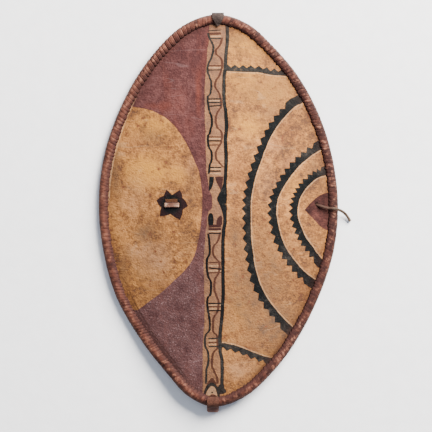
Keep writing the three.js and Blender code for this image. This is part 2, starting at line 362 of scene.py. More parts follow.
rim = {
    "width": 0.024,
    "height": 0.020,
    "bite": 0.002,
    "liftStart": 0.5,
    "clearance": 0.00035,
    "staveThickness": 0.012,
    "tongueThickness": 0.0026,
    "steps": 2500,
    "around": 24,
    "seed": 11,
    # share of the way round from the upper tip, clockwise: pitch of the turns and how far they bulge
    "turns": [
        (0.0, 0.0080, 0.0002),
        (0.035, 0.0090, 0.0005),
        (0.07, 0.0100, 0.0009),
        (0.12, 0.0095, 0.0007),
        (0.18, 0.0080, 0.0004),
        (0.27, 0.0075, 0.0003),
        (0.36, 0.0075, 0.0002),
        (0.43, 0.0080, 0.00015),
        (0.50, 0.0080, 0.0001),
        (0.57, 0.0080, 0.00015),
        (0.61, 0.0068, 0.0006),
        (0.65, 0.0068, 0.0006),
        (0.68, 0.0085, 0.0002),
        (0.76, 0.0080, 0.0003),
        (0.86, 0.0090, 0.0006),
        (0.91, 0.0105, 0.0010),
        (0.95, 0.0105, 0.0009),
        (1.0, 0.0080, 0.0002),
    ],
    "deepest": 0.001,  # bulge at which a groove is at its darkest
    "lean": 0.0075,  # how far a turn slants from the top of the rim to its foot
    "leanStray": 0.005,
    "lipReach": 0.0014,
    # chance: shares of the pitch and of the bulge, how far a lip strays, and how far a groove wanders
    "pitchSpread": (0.7, 1.3),
    "bulgeSpread": (0.5, 1.3),
    "jog": 0.0012,
    "wander": 0.0012,
    "crestPower": 2.4,  # how square a turn's crest is
    "crestMiddle": 0.75,  # crest height that lies on the oval
    "lipMiddle": 0.3,
    "rough": 0.0003,
    "leather": [(0.1, (0.024, 0.0068, 0.005)), (0.45, (0.072, 0.0212, 0.0132)), (0.9, (0.15, 0.05, 0.03))],
    # painted highlight on the crests of the turns
    "paintedLight": (0.25, 0.105, 0.064),
    "grey": (0.07, 0.042, 0.035),
    # painted shade: colour of the rim's inner flank against the hide and of the grooves between turns
    "inner": (0.036, 0.011, 0.0085),
    # painted shade of the holes where the strip goes into the hide, between turns at the inner lip
    "holeShade": (0.013, 0.0055, 0.0045),
    # strength from the inner lip, 0, over the top to the lip behind the hide, 1
    "highlightBySweep": [(0, 0.1), (0.16, 1), (0.32, 0.5), (1, 0)],
    "greyBySweep": [(0, 0), (0.25, 0.05), (0.4, 0.85), (1, 0.4)],
    "grooveShadeBySweep": [(0, 1), (0.2, 0.9), (0.45, 0.5), (1, 0.5)],
}

upperTipY = outline["widestY"] + outline["upperReach"]
lowerTipY = outline["widestY"] - outline["lowerReach"]
crownY = (upperTipY + lowerTipY) / 2


def outlineLine():
    def side(rows, sign, reach):
        return [
            Vector(((stray + sign * width) * outline["halfWidth"], outline["widestY"] + share * reach, 0))
            for share, width, stray in rows
        ]

    upper, lower = outline["upperStations"], outline["lowerStations"]
    right = side(upper[::-1], 1, outline["upperReach"]) + side([(0, 1, 0)], 1, 0)
    right += side(lower, 1, -outline["lowerReach"])
    left = side(lower[-2::-1], -1, -outline["lowerReach"]) + side([(0, 1, 0)], -1, 0)
    left += side(upper[:-1], -1, outline["upperReach"])
    return catmullRom(right + left, outline["samples"], closed=True)


def rimCentreHeight(y):
    underRim = rim["clearance"] if y > crownY else rim["tongueThickness"] + 2 * rim["clearance"]
    share = abs(y - crownY) / (upperTipY - crownY)
    lift = smoothStep((share - rim["liftStart"]) / (1 - rim["liftStart"]))
    return rim["height"] / 2 + (rim["staveThickness"] + underRim) * lift


def rimStations(count):
    # Clockwise from the upper tip: rim centre, hide edge and inward direction
    points = evenly(outlineLine(), count, closed=True)
    stations = []
    for i, outer in enumerate(points):
        tangent = points[(i + 1) % count] - points[i - 1]
        inward = Vector((tangent.y, -tangent.x, 0)).normalized()
        height = Vector((0, 0, rimCentreHeight(outer.y)))
        centre = outer + inward * (rim["width"] / 2) + height
        edge = outer + inward * (rim["width"] / 2 - rim["bite"]) + height
        stations.append((centre, edge, inward))
    return stations


stations = rimStations(rim["steps"])


def edgeLists(count):
    # Distance and height of the hide's edge at even angles round the crown
    angles = [math.atan2(edge.y - crownY, edge.x) for _, edge, _ in stations]
    radii = [math.hypot(edge.x, edge.y - crownY) for _, edge, _ in stations]
    heights = [edge.z for _, edge, _ in stations]
    marks = [2 * math.pi * i / count - math.pi for i in range(count + 1)]
    return [numpy.interp(marks, angles, values, period=2 * math.pi).tolist() for values in (radii, heights)]


edgeRadii, edgeHeights = edgeLists(hide["edgeMarks"])


def edgeToward(angle):
    mark = (angle / (2 * math.pi) + 0.5) * hide["edgeMarks"]
    i = min(int(mark), hide["edgeMarks"] - 1)
    share = mark - i
    return mix(edgeRadii[i], edgeRadii[i + 1], share), mix(edgeHeights[i], edgeHeights[i + 1], share)


def hideHeight(x, y):
    # Middle surface: a dome over the rim with a low ridge over the stave, and the waves of dried hide
    radius, edgeZ = edgeToward(math.atan2(y - crownY, x))
    share = math.hypot(x, y - crownY) / radius
    rise = (1 - share**2) * (1 - hide["flare"] * share**2)
    crown = hide["crown"] - hide["thickness"] / 2 - hide["ridgeHeight"]
    ridge = hide["ridgeHeight"] * math.exp(-((x / hide["ridgeHalfWidth"]) ** 2))
    ridge *= smoothStep((1 - share) / hide["ridgeFadeShare"])
    wave = sum(size * noise.noise(Vector((x * scale, y * scale, scale))) for scale, size in hide["waves"])
    wave *= smoothStep((1 - share) / hide["waveFadeShare"])
    return edgeZ + (crown - edgeZ) * rise + ridge + wave


def hideNormal(x, y):
    step = 0.001
    alongX = (hideHeight(x + step, y) - hideHeight(x - step, y)) / (2 * step)
    alongY = (hideHeight(x, y + step) - hideHeight(x, y - step)) / (2 * step)
    return Vector((-alongX, -alongY, 1)).normalized()


def hidePoint(x, y, offset):
    return Vector((x, y, hideHeight(x, y))) + hideNormal(x, y) * offset


thong = {
    "width": 0.0062,
    "thickness": 0.0036,
    "twist": 2.6,  # half turns from end to end
    "tilt": 0.35,  # how far the twist turns it, in radians
    "wear": 0.1,
    "wearScale": 160,
    "endSwell": 0.12,
    "leather": [(0.2, (0.045, 0.03, 0.02)), (0.5, (0.09, 0.061, 0.042)), (0.8, (0.15, 0.108, 0.073))],
    "dirt": (0.034, 0.013, 0.0095),
    "darkerTo": 0.26,  # x up to which it is darker, towards its hole in the hide
    "steps": 150,
    "around": 14,
    "route": [
        (0.2165, 0.0183, 0.0196),
        (0.22, 0.0174, 0.0222),
        (0.2238, 0.0164, 0.0246),
        (0.228, 0.0152, 0.0262),
        (0.2325, 0.0137, 0.0263),
        (0.237, 0.0122, 0.0252),
        (0.242, 0.0108, 0.024),
        (0.247, 0.0099, 0.0234),
        (0.252, 0.0094, 0.0237),
        (0.257, 0.0089, 0.0241),
        (0.262, 0.0082, 0.0239),
        (0.267, 0.0071, 0.0226),
        (0.2716, 0.0057, 0.0203),
        (0.2758, 0.0039, 0.0174),
        (0.2798, 0.0016, 0.0142),
        (0.2837, -0.0013, 0.0111),
        (0.2875, -0.005, 0.0083),
        (0.291, -0.0094, 0.006),
        (0.2942, -0.0144, 0.0044),
        (0.2972, -0.0196, 0.0036),
    ],
}


def thongMaterial():
    material, wire, place = startMaterial("thongLeather")
    broad = wire.noise(place, 55)
    fine = wire.noise(place, 420, 4)
    colour = (fine.above(0.5, 0.3) * 0.35).tint(broad.ramp(thong["leather"]), thong["dirt"])
    darkerPart = place.part("X").below(thong["darkerTo"], 0.014)
    colour = (darkerPart * (broad * 0.3 + 0.6)).tint(colour, thong["dirt"])
    return finishMaterial(material, colour, 0.6 + fine * 0.2, fine, 0.0006, 0.1)


def makeThong():
    route = [Vector(point) for point in thong["route"]]
    line = evenly(catmullRom(route, 12), thong["steps"] + 1)
    length = runsAlong(line)[-1]

    def place(i, k):
        tangent = tangentAt(line, i)
        side = tangent.cross(Vector((0, 0, 1))).normalized()
        up = side.cross(tangent)
        share = i / thong["steps"]
        turn = thong["tilt"] * math.sin(math.pi * thong["twist"] * share)
        angle = 2 * math.pi * k / thong["around"]
        worn = 1 + thong["wear"] * noise.noise(line[i] * thong["wearScale"])
        worn += thong["endSwell"] * smoothStep(share * 6 - 5)
        across = math.cos(angle) * thong["width"] / 2 * worn
        rise = math.sin(angle) * thong["thickness"] / 2 * worn
        sideways = side * (across * math.cos(turn) - rise * math.sin(turn))
        return line[i] + sideways + up * (across * math.sin(turn) + rise * math.cos(turn))

    bm = bentGrid(thong["steps"], thong["around"], place)
    piece = makePiece("edgeThong", bm, "thong_leather", "edge_thong", thongMaterial())
    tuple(thong["route"][0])
    [tuple(point) for point in line[:: thong["steps"] // 30]]
    print("edge thong made, length", round(length, 4))


makeThong()


paint = {
    # colours
    "tan": [(0.05, (0.092, 0.043, 0.023)), (0.45, (0.215, 0.088, 0.028)), (0.9, (0.39, 0.169, 0.05))],
    "greyTan": (0.1, 0.055, 0.032),
    "goldTan": (0.4, 0.175, 0.032),
    "rustTan": (0.125, 0.042, 0.02),
    "pinkTan": (0.3, 0.13, 0.066),
    "paleTan": (0.3, 0.155, 0.085),
    "bandTan": (0.15, 0.08, 0.052),
    "red": [(0.1, (0.032, 0.0122, 0.0128)), (0.5, (0.06, 0.0215, 0.0198)), (0.9, (0.112, 0.044, 0.04))],
    "brightRed": (0.14, 0.034, 0.021),
    "wedgeRed": [
        (0.15, (0.018, 0.0075, 0.0068)), (0.5, (0.05, 0.0175, 0.0145)), (0.9, (0.115, 0.04, 0.03)),
    ],
    "speckle": (0.2, 0.12, 0.115),
    "black": [
        (0.2, (0.0028, 0.0033, 0.0035)), (0.6, (0.006, 0.0062, 0.0063)), (0.95, (0.03, 0.027, 0.024)),
    ],
    "maroon": (0.022, 0.009, 0.009),
    "brown": (0.042, 0.016, 0.011),
    "dullRed": (0.024, 0.0085, 0.0082),
    "pale": (0.42, 0.25, 0.13),
    "rimShade": (0.024, 0.0092, 0.0065),
    # painted shade along the rim
    "worn": (0.055, 0.045, 0.037),
    "dust": (0.11, 0.06, 0.058),
    "rawBack": [(0.2, (0.14, 0.077, 0.04)), (0.5, (0.21, 0.126, 0.065)), (0.8, (0.3, 0.19, 0.105))],
    # noises: how many to the metre, detail and roughness
    "noises": {
        "clouds": (11, 5, 0.6),
        "blotches": (38, 4, 0.65),
        "spots": (95, 3, 0.6),
        "grain": (260, 3, 0.6),
    },
    "streaks": (16, 3, 0.5, (2.2, 0.5, 1)),
    "hair": (60, 3, 0.6, (1, 7, 1)),
    "speckles": (330, 2),
    # tones: share of each noise, what a millimetre to the right adds as painted shade against the light from
    # the right, and what is added everywhere
    "tanTone": (0.62, 0.58, 0.58, 0.6, -0.0004, -0.74),
    "redTone": (0.4, 0.35, 0.25, 0.4, -0.0004, -0.2),
    "wedgeTone": (0, 0.35, 0.45, 0.25, 0, 0),
    "blackTone": (0, 0.4, 0.3, 0.4, 0, -0.05),
    # scratches: direction in degrees, how many to the metre, and width
    "darkScratches": [(62, 30, 0.012), (-25, 24, 0.01)],
    "paleScratches": [(80, 34, 0.012)],
    "redScratches": [(55, 26, 0.008)],
    # all places from here in millimetres on the face
    "millimetre": 1000,
    "wobble": [(24, 1.0), (130, 0.7)],  # how many to the metre, and how far a line strays
    "lineSoft": 0.7,
    # red field on the left: its border with the bare half oval, x against y
    "bareOval": [
        (238, -194.4), (231.5, -159.8), (223, -138.2), (201.4, -106), (173.5, -84.2), (145.1, -67.3),
        (111.4, -52.2), (89.6, -43.4), (59.6, -38.2), (23.6, -36), (-14.6, -38.2), (-53.8, -43.4),
        (-96.8, -54.2), (-127.1, -73.6), (-152.8, -99.5), (-180.7, -129.6), (-200, -155.5),
        (-219.4, -181.3),
    ],
    # middle band: its left side and the black line on its right, x against y
    "bandLeft": [
        (410.6, -20), (388.1, -21.2), (365.6, -24.5), (343.1, -25.7), (309.4, -29), (262.1, -30.6),
        (230.6, -30.6), (167.6, -28.3), (102.4, -27.2), (68.6, -23), (50.6, -20), (39.4, -15.5),
        (25.9, -13.7), (7.9, -15.5), (1.1, -22.3), (-30.4, -26.6), (-79.9, -30.6), (-122.6, -32.8),
        (-165.4, -31.7), (-208.1, -30.6), (-282.4, -34), (-325.1, -35.1), (-370.1, -35.1),
    ],
    "blackLine": [
        (403.9, 20), (388.1, 20), (365.6, 18.2), (343.1, 16), (320.6, 14.8), (298.1, 12.6), (253.1, 12.6),
        (230.6, 15.5), (208.1, 17.1), (190.1, 18.2), (163.1, 16), (118.1, 17.1), (84.4, 16), (61.9, 14.8),
        (-16.9, 14.8), (-39.4, 11.5), (-84.4, 10.3), (-185.6, 10.3), (-208.1, 9.2), (-241.9, 7),
        (-264.4, 4.7), (-298.1, 3.6), (-320.6, 5.8), (-336.4, 8.1), (-390.4, 8.1),
    ],
    "blackLineHalf": 4.1,
    "bulge": [
        (73.1, 12.6), (59.6, 9.2), (48.4, 4.7), (37.1, -0.9), (30.4, -3.2), (22.5, -0.9), (13.5, 3.6),
        (3.4, 7), (-7.9, 9.9), (-16.9, 11),
    ],
    # lines of the hourglasses, x against y, above and below the middle
    "leftUpper": [
        (402.8, -23), (392.6, -20.5), (379.1, -14.4), (369, -11.5), (354.4, -13.3), (340.9, -18.2),
        (327.4, -23.8), (320.6, -24.5), (307.1, -21.2), (298.1, -18.9), (284.6, -16), (271.1, -17.1),
        (262.1, -20), (257.6, -23.8), (235.1, -22.3), (221.6, -18.9), (199.1, -14.4), (187.9, -17.1),
        (174.4, -20.5), (169.9, -23.4), (154.1, -22.7), (142.9, -20), (124.9, -14.4), (106.9, -18.9),
        (86.6, -21.6),
    ],
    "rightUpper": [
        (391.5, 8.1), (381.4, 5.8), (367.9, -2), (361.1, -5.8), (351, -0.9), (333, 8.1), (318.4, 5.8),
        (304.9, 1.3), (291.4, -6.5), (284.6, -7.7), (275.6, -4.3), (268.9, 0.2), (259.9, 3.6),
        (238.5, 5.8), (229.5, 1.3), (217.1, -4.3), (205.9, -6.5), (194.6, -4.3), (186.8, -0.9),
        (171, 8.1), (149.6, 2.5), (140.6, -2.5), (127.1, -5.4), (113.6, 0.2), (102.4, 10),
    ],
    "leftLower": [
        (-48.4, -22.7), (-68.6, -20), (-84.4, -19.3), (-102.4, -25), (-113.6, -26.1), (-133.9, -24.5),
        (-147.4, -21.2), (-160.9, -16.7), (-174.4, -16.7), (-185.6, -18.9), (-196.9, -25),
        (-219.4, -23.4), (-230.6, -21.2), (-255.4, -19.6), (-266.6, -22.3), (-286.9, -30.2),
        (-300.4, -29), (-309.4, -24.5), (-322.9, -22.3), (-340.9, -23.4), (-354.4, -26.8),
        (-383.6, -27.9),
    ],
    "rightLower": [
        (-47.2, 3.6), (-57.4, 1.3), (-68.6, -4.3), (-86.6, -12.2), (-97.9, -8.8), (-106.9, -2),
        (-115.9, 2.5), (-140.6, -3.2), (-151.9, -8.1), (-167.6, -9.2), (-181.1, -6.5), (-192.4, -2),
        (-201.4, 0.2), (-223.9, -4.3), (-232.9, -9.9), (-246.4, -12.2), (-259.9, -12.2), (-271.1, -6.5),
        (-282.4, -2), (-300.4, -2), (-307.1, -5.4), (-313.9, -11), (-325.1, -13.7), (-340.9, -14.4),
        (-352.1, -11), (-363.4, -6.5), (-374.6, -2.5), (-383.6, -2),
    ],
    "hourglassHalf": 2.6,
    # y at which each of the long lines ends
    "lineEnds": {
        "blackLine": (-392, 421),
        "leftUpper": (86, 403),
        "leftLower": (-384, -47),
        "rightUpper": (101, 392),
        "rightLower": (-384, -46),
    },
    # short bars across the band: y in its middle, rise to the right, half thickness
    "darkBars": [
        (408.6, 1.5, 1.3), (390.4, 0, 1.5), (318.8, 0.5, 1.4), (253.6, 0, 1.5), (245.5, 0, 1.5),
        (238.2, 2, 1.5), (159.5, 0, 1.6), (100.1, 0, 1.4), (92.3, 0, 1.6), (-46.1, 0, 1.5),
        (-124.8, -3, 1.6), (-203.2, 0, 1.5), (-219.4, 0, 1.5), (-281.3, 0, 1.5), (-299.7, 0, 1.6),
    ],
    "brownBars": [
        (401.3, 0, 2.6), (328.5, 0, 1.6), (168.3, 0, 1.5), (150.3, 0, 1.4),
        (-111.4, 1, 1.5), (-134.1, 2, 1.4), (-210.4, 0, 1.4), (-290.9, 0, 1.4),
    ],
    "redBars": [(-30.2, 0, 3.2), (-37.3, 0, 2.7)],
    "paleBars": [
        (395.3, 0, 1.5), (324, 0, 1.5), (249.6, 0, 1.4), (164.3, 0, 1.5), (96.8, 0, 1.4), (86.6, 0, 1.8),
        (-41.6, 0, 1.5), (-119, 0, 1.5), (-130, 0, 1.4), (-207, 0, 1.3), (-215.6, 0, 1.3),
        (-285.8, 0, 1.5), (-295, 0, 1.5),
    ],
    "barMiddle": -8,
    "barHalf": 14,
    # leaves where the hourglasses end in the middle: y, left side, right side
    "darkLeaves": [
        [
            (79.9, -20.5, -9.5), (70.9, -20.7, -10.4), (59.6, -21.2, -12.6), (50.6, -21.6, -17.6),
            (47.3, -21.2, -21.2),
        ],
        [
            (-1.1, -18.9, -15.5), (-5.6, -22, -12.2), (-14.6, -23.4, -10.8), (-21.4, -23.2, -11),
            (-28.5, -22.4, -12.5),
        ],
    ],
    "redLeaves": [
        [(79.9, -7.5, 10.5), (70.9, -5.5, 10), (61.9, -1.5, 9), (54, 2.5, 7.5), (47, 4.6, 5.2)],
        [(-6.8, 4.3, 5.9), (-10.1, 0.2, 8.1), (-14.6, -2.7, 8.8), (-21.4, -4.5, 8.8), (-28.1, -5, 8.6)],
    ],
    # toothed arcs: centre, radius against degrees from due left, tooth tips, solid part and teeth
    "arcs": [
        {
            "centre": (386.1, -3.4),
            "radius": [
                (-49.6, 335.8), (-40, 335), (-34.4, 334.6), (-29.4, 332.8), (-24.8, 329.5), (-19.8, 325),
                (-15.1, 320.2), (-9, 316.6), (-2.5, 314.2), (4.9, 314.8), (13.4, 314.3), (20, 313.8),
                (27.5, 316.4), (36.7, 321.2), (46.7, 322.6), (51, 318.6),
            ],
            "tips": [(-46.1, 26), (-40, 24), (-17.4, 18), (-1.7, 14), (12.1, 10), (26.5, 6), (46.6, 0)],
            "ends": (-53, 56),
            "solid": 12,
            "teeth": 8.5,
        },
        {
            "centre": (282.6, -3.4),
            "radius": [
                (-66.4, 161.1), (-52.8, 156.4), (-39.5, 152.2), (-28.4, 151.6), (-16.2, 150.9),
                (-5.5, 151.4), (1.7, 153.1), (10.2, 153.1), (17.3, 151.7), (26.3, 148.8), (37.1, 147.3),
                (50.4, 148.1), (61.7, 150.8), (69.8, 153.5),
            ],
            "tips": [(-59.9, 20), (-28.7, 15), (0.4, 11), (24.5, 7), (49.3, 3), (66.7, 0)],
            "ends": (-75, 82),
            "solid": 12.5,
            "teeth": 9,
        },
        {
            "centre": (282.6, -3.4),
            "radius": [
                (-64.5, 112.7), (-52.2, 105.4), (-36.8, 100.6), (-20.4, 100.8), (-8, 103.4), (4.9, 105.4),
                (18.6, 105.7), (28.5, 104.7), (41.9, 102.1), (53.4, 100.8), (63.7, 96.6),
            ],
            "tips": [(-58.1, 18), (-35.8, 15), (-13.4, 12), (10.1, 9), (33.1, 5), (53.6, 2), (63.8, 0)],
            "ends": (-78, 84),
            "solid": 12,
            "teeth": 8.5,
        },
    ],
    # toothed bars to the right rim: smooth side y against x, tooth pitch and phase, which way they point
    "bars": [
        {
            "edge": [(14, 315.9), (23.2, 315.7), (55.3, 315), (87.7, 313.4), (119.9, 308.5), (160, 306)],
            "pitch": 17.8,
            "start": 19.4,
            "side": 1,
            "solid": 9,
            "teeth": 7,
        },
        {
            "edge": [(6, -291), (32.8, -295.9), (54.4, -303.4), (76, -312.4), (97.4, -320.6), (125, -328.5)],
            "pitch": 17.9,
            "start": 19,
            "side": -1,
            "solid": 10,
            "teeth": 7.5,
        },
    ],
    "paleEdge": 1.3,
    # red field against the right rim: its upper and lower side, y against x
    "wedgeTop": [(193.3, 6.1), (212.2, 26.1), (230.2, 39.6), (243.7, 43.9), (262, 46)],
    "wedgeFoot": [(193.3, 6.1), (212.2, -14.2), (230.2, -32), (241.4, -38.7), (262, -46)],
    # star round the stitch: radius against degrees, and the bare oblong in it
    "star": {
        "centre": (-105.5, 18.7),
        "radius": [
            (-180, 29), (-160.5, 23.6), (-133, 38.2), (-94, 22.1), (-61.3, 40.3), (-23.6, 29.2),
            (-6.5, 37.6), (27.9, 29.3), (58.5, 37.2), (83.6, 20.6), (106.9, 34.1), (132, 24.8),
            (166.4, 34.5), (180, 29),
        ],
        # the bare oblong sits above the stitch, so that the star's black runs on under the stitch as painted
        # shadow
        "bare": (-105, 21.5, 13, 8),  # middle and half sizes
    },
    # arch over the lower tongue: brown peak, then the upper and lower side of the black arch, y against x
    "archPeak": [(-25, -382), (-20, -375.5), (-14.4, -371), (-9.5, -375), (-4, -382)],
    "archTop": [
        (-33, -405), (-30.6, -398), (-25.7, -387), (-20, -382.5), (-16, -381), (-11, -382), (-7, -385),
        (-2, -392), (3, -408),
    ],
    "archUnder": [
        (-31, -414), (-26.8, -404), (-21.2, -394), (-14.4, -389.5), (-8.5, -393), (-4.5, -402),
        (-2, -414),
    ],
    "footMass": [(-383, 5, 9), (-388, 1, 12.5), (-395, -3, 14.5), (-401, -4, 18), (-407, -1, 12)],
    # painted shade: a black spot for the hole at the lower tongue's tip
    "footHoleShade": (-14.4, -403.6, 2.2),
    # stains: x, y, half width, half height, strength
    "goldStains": [
        (-160, 90, 66, 50, 1.25), (-95, 82, 34, 26, 0.9), (-140, 195, 70, 40, 0.9),
        (60, 300, 50, 60, 0.9), (70, 195, 50, 40, 1.0), (62, 375, 60, 40, 0.9), (105, 270, 70, 40, 0.9),
        (170, 60, 28, 40, 0.5), (45, -220, 30, 60, 0.4), (110, -330, 40, 30, 0.4),
        (-170, -130, 50, 50, 0.35),
    ],
    # the two broad grey patches on the lower right, at (80, -170) and (120, -250), also darken that side as
    # painted shade against the light from the right
    "greyStains": [
        (-232, 80, 20, 75, 0.8), (-150, 168, 42, 26, 0.6), (-158, -44, 38, 32, 0.95),
        (-212, -120, 20, 60, 0.6), (150, -226, 48, 34, 0.6), (38, -60, 26, 60, 0.8),
        (118, 222, 52, 34, 0.5), (-70, -60, 22, 60, 0.5), (125, -60, 16, 70, 0.4),
        (215, 100, 22, 40, 0.5), (40, 390, 40, 16, 0.5), (196, -70, 22, 34, 0.6),
        (80, -170, 110, 170, 0.9), (120, -250, 110, 90, 1.0), (110, 270, 80, 50, 0.5),
        (-130, -190, 80, 60, 0.35), (-60, 60, 22, 80, 0.4),
    ],
    "rustStains": [
        (44, 92, 22, 44, 0.5), (160, 180, 26, 34, 0.4), (-190, 150, 26, 30, 0.35),
        (60, -310, 34, 20, 0.45), (190, -160, 22, 44, 0.5), (-120, -160, 40, 20, 0.35),
        (38, 30, 14, 50, 0.4),
    ],
    "pinkStains": [(120, 150, 46, 30, 0.35), (160, 110, 30, 24, 0.45), (-60, 110, 20, 40, 0.4)],
    "paleStains": [
        (-150, -105, 62, 62, 0.75), (-185, 40, 40, 60, 0.35), (50, -350, 50, 40, 0.5),
        (110, 60, 30, 60, 0.3),
    ],
    # the first, a long streak beside the band, is a painted highlight; the others are lighter patches of the
    # paint
    "redHighlightAndStains": [
        (-45, 260, 10, 75, 0.9), (-85, 250, 26, 40, 0.45), (-60, 190, 20, 50, 0.5),
        (-140, 238, 52, 14, 0.8),
    ],
    # where the black is worn to grey
    "wornStains": [
        (190, 138, 56, 24, 0.7), (226, 96, 26, 18, 0.75), (165, -95, 44, 44, 0.5), (55, 312, 40, 12, 0.5),
        (160, -200, 60, 40, 0.35), (75, -20, 24, 90, 0.3),
    ],
    # painted shade along the rim: strength against distance from the rim, and against y
    "rimShadeByEdge": [(-4, 0.9), (4, 0.8), (9, 0.45), (22, 0.13), (46, 0)],
    "rimShadeByHeight": [
        (-440, 0.25), (-385, 0.6), (-330, 0.95), (-250, 0.85), (-100, 0.5), (50, 0.35), (200, 0.4),
        (330, 0.45), (450, 0.5),
    ],
    # painted shade of a groove beside the rim on the left, a dark line: distance from the rim, half width,
    # lowest and highest y
    "creaseShadeLine": (10.5, 2.2, -385, -150),
    "lipRun": 14,  # how much of the hide the rim hides
    "cutEdge": (28, 253),  # y between which its pale trimmed edge shows on the left
}


def hideFields():
    # Places in millimetres that stray like a hand's lines, and the noises that all layers share
    material, wire, place = startMaterial("paintedHide")
    x = place.part("X") * paint["millimetre"]
    y = place.part("Y") * paint["millimetre"]
    for scale, size in paint["wobble"]:
        x = x + (wire.noise(place, scale, 2) - 0.5) * size
        y = y + (wire.noise(place, scale * 1.07, 2) - 0.5) * size
    noises = {name: wire.noise(place, *settings) for name, settings in paint["noises"].items()}
    on = SimpleNamespace(material=material, wire=wire, place=place, x=x, y=y, **noises)
    on.fromRim = wire.attribute("toEdge") * paint["millimetre"] - paint["lipRun"]
    on.ragged = on.blotches * 0.7 + on.clouds * 0.3
    return on


def layOutFields(on):
    # The black line's place and the masks of the band, the wedge and the red field
    on.line = on.y.bend(paint["blackLine"])
    band = on.x.above(on.y.bend(paint["bandLeft"]), paint["lineSoft"])
    on.inBand = band * on.x.below(on.line, 1)
    oval = on.x.below(on.y.bend(paint["bareOval"]), paint["lineSoft"])
    oval = oval * on.y.spanning(paint["bareOval"], 1.5)
    wedge = on.y.below(on.x.bend(paint["wedgeTop"]), 1) * on.y.above(on.x.bend(paint["wedgeFoot"]), 1)
    on.wedge = wedge * on.x.above(paint["wedgeTop"][0][0], 1.5)
    on.redField = ((1 - band) * (1 - oval)).highest(on.wedge)


def toneOf(on, shares):
    clouds, blotches, spots, grain, shadeToRight, base = shares
    tone = on.clouds * clouds + on.blotches * blotches + on.spots * spots + on.grain * grain
    # shadeToRight darkens the right side: painted shade against the key light from the right
    return tone + on.x.scaled(shadeToRight, base)


def scratched(on, strength, scratches, under, over):
    mask = highestOf(on.wire.scratches(on.place, *scratch) for scratch in scratches)
    return (mask * strength).tint(under, over), mask


def stainMask(place, ragged, stains):
    # Soft patches whose borders follow the ragged noise
    masks = []
    for x, y, halfX, halfY, strength in stains:
        size = Vector((paint["millimetre"] / halfX, paint["millimetre"] / halfY, 0))
        sockets = {"Vector": place, "Location": (-x / halfX, -y / halfY, 0), "Scale": size}
        reach = place.node("ShaderNodeMapping", None, sockets)
        reach = reach.node("ShaderNodeVectorMath", {"operation": "LENGTH"}, {0: reach}, "Value")
        masks.append((ragged - reach).above(0, 1.1) * strength)
    return highestOf(masks)


def bareHide(on):
    # Clouds, stains, scratches and pores, and the mask of the scratches
    colour = toneOf(on, paint["tanTone"]).ramp(paint["tan"])
    patchy = on.blotches * 0.6 + on.spots * 0.5 + 0.25
    for kind in ("gold", "pink", "pale", "grey", "rust"):
        mask = stainMask(on.place, on.ragged, paint[kind + "Stains"]) * patchy
        colour = mask.tint(colour, paint[kind + "Tan"])
    colour, scratches = scratched(on, 0.14, paint["darkScratches"], colour, paint["rustTan"])
    colour, _ = scratched(on, 0.2, paint["paleScratches"], colour, paint["pale"])
    return on.spots.below(0.1, 0.2).tint(colour, paint["rustTan"]), scratches


def redPaint(on):
    # Dark red with bright streaks, the long one beside the band a painted highlight, dusty and speckled
    # towards the foot
    red = toneOf(on, paint["redTone"]).ramp(paint["red"])
    streak = on.wire.noise(on.place, *paint["streaks"])
    brightAndHighlight = stainMask(on.place, streak, paint["redHighlightAndStains"]).highest(streak.above(0.72, 0.3) * 0.3)
    red = (brightAndHighlight * (on.spots * 0.5 + 0.35)).tint(red, paint["brightRed"])
    dusty = on.y.below(-60, 200)
    red = (dusty * (on.blotches * 0.4 + 0.15)).tint(red, paint["dust"])
    speckle = on.wire.noise(on.place, *paint["speckles"]).above(0.78, 0.2)
    red = (speckle * (dusty * 0.9 + 0.12) * on.blotches).tint(red, paint["speckle"])
    return scratched(on, 0.2, paint["redScratches"], red, paint["speckle"])[0]


def longLine(on, name, half):
    line = (on.x - on.y.bend(paint[name])).within(half, paint["lineSoft"])
    return line * on.y.between(*paint["lineEnds"][name], 2)


def toothWave(phase):
    # 1 at each tooth's tip, where phase is a whole number, and 0 half-way between
    return abs((phase + 0.5).maths("FRACT") - 0.5) * -2 + 1


def toothedBand(out, phase, span, settings):
    # The solid part with its teeth, and the pale line along its smooth side
    reach = toothWave(phase) * settings["teeth"] + settings["solid"]
    band = out.above(0, paint["lineSoft"]) * out.below(reach, paint["lineSoft"]) * span
    pale = (out + paint["paleEdge"]).within(paint["paleEdge"], paint["lineSoft"]) * span
    return band, pale


def arcMasks(on, arc):
    dx = arc["centre"][0] - on.x
    dy = on.y - arc["centre"][1]
    degrees = bearingOf(dx, dy)
    out = lengthOf(dx, dy) - degrees.bend(arc["radius"])
    return toothedBand(out, degrees.bend(arc["tips"]), degrees.between(*arc["ends"], 1.2), arc)


def barMasks(on, bar):
    out = (on.y - on.x.bend(bar["edge"])) * bar["side"]
    phase = (on.x - bar["start"]) / bar["pitch"]
    return toothedBand(out, phase, on.x.above(bar["edge"][0][0], 2), bar)


def crossBars(on, bars):
    # Bars across the band: middle, how much higher the right end is, and half thickness
    fromMiddle = on.x - paint["barMiddle"]
    strokes = []
    for middle, rise, half in bars:
        level = on.y - middle
        if rise:
            level = level - fromMiddle * (rise / (2 * paint["barHalf"]))
        strokes.append(level.within(half, paint["lineSoft"]))
    return highestOf(strokes) * fromMiddle.within(paint["barHalf"], 1.5)


def leafMask(on, leaves):
    masks = []
    for rows in leaves:
        left = on.y.bend([(level, side) for level, side, _ in rows])
        right = on.y.bend([(level, side) for level, _, side in rows])
        masks.append(on.x.above(left, 0.8) * on.x.below(right, 0.8) * on.y.spanning(rows, 1))
    return highestOf(masks)


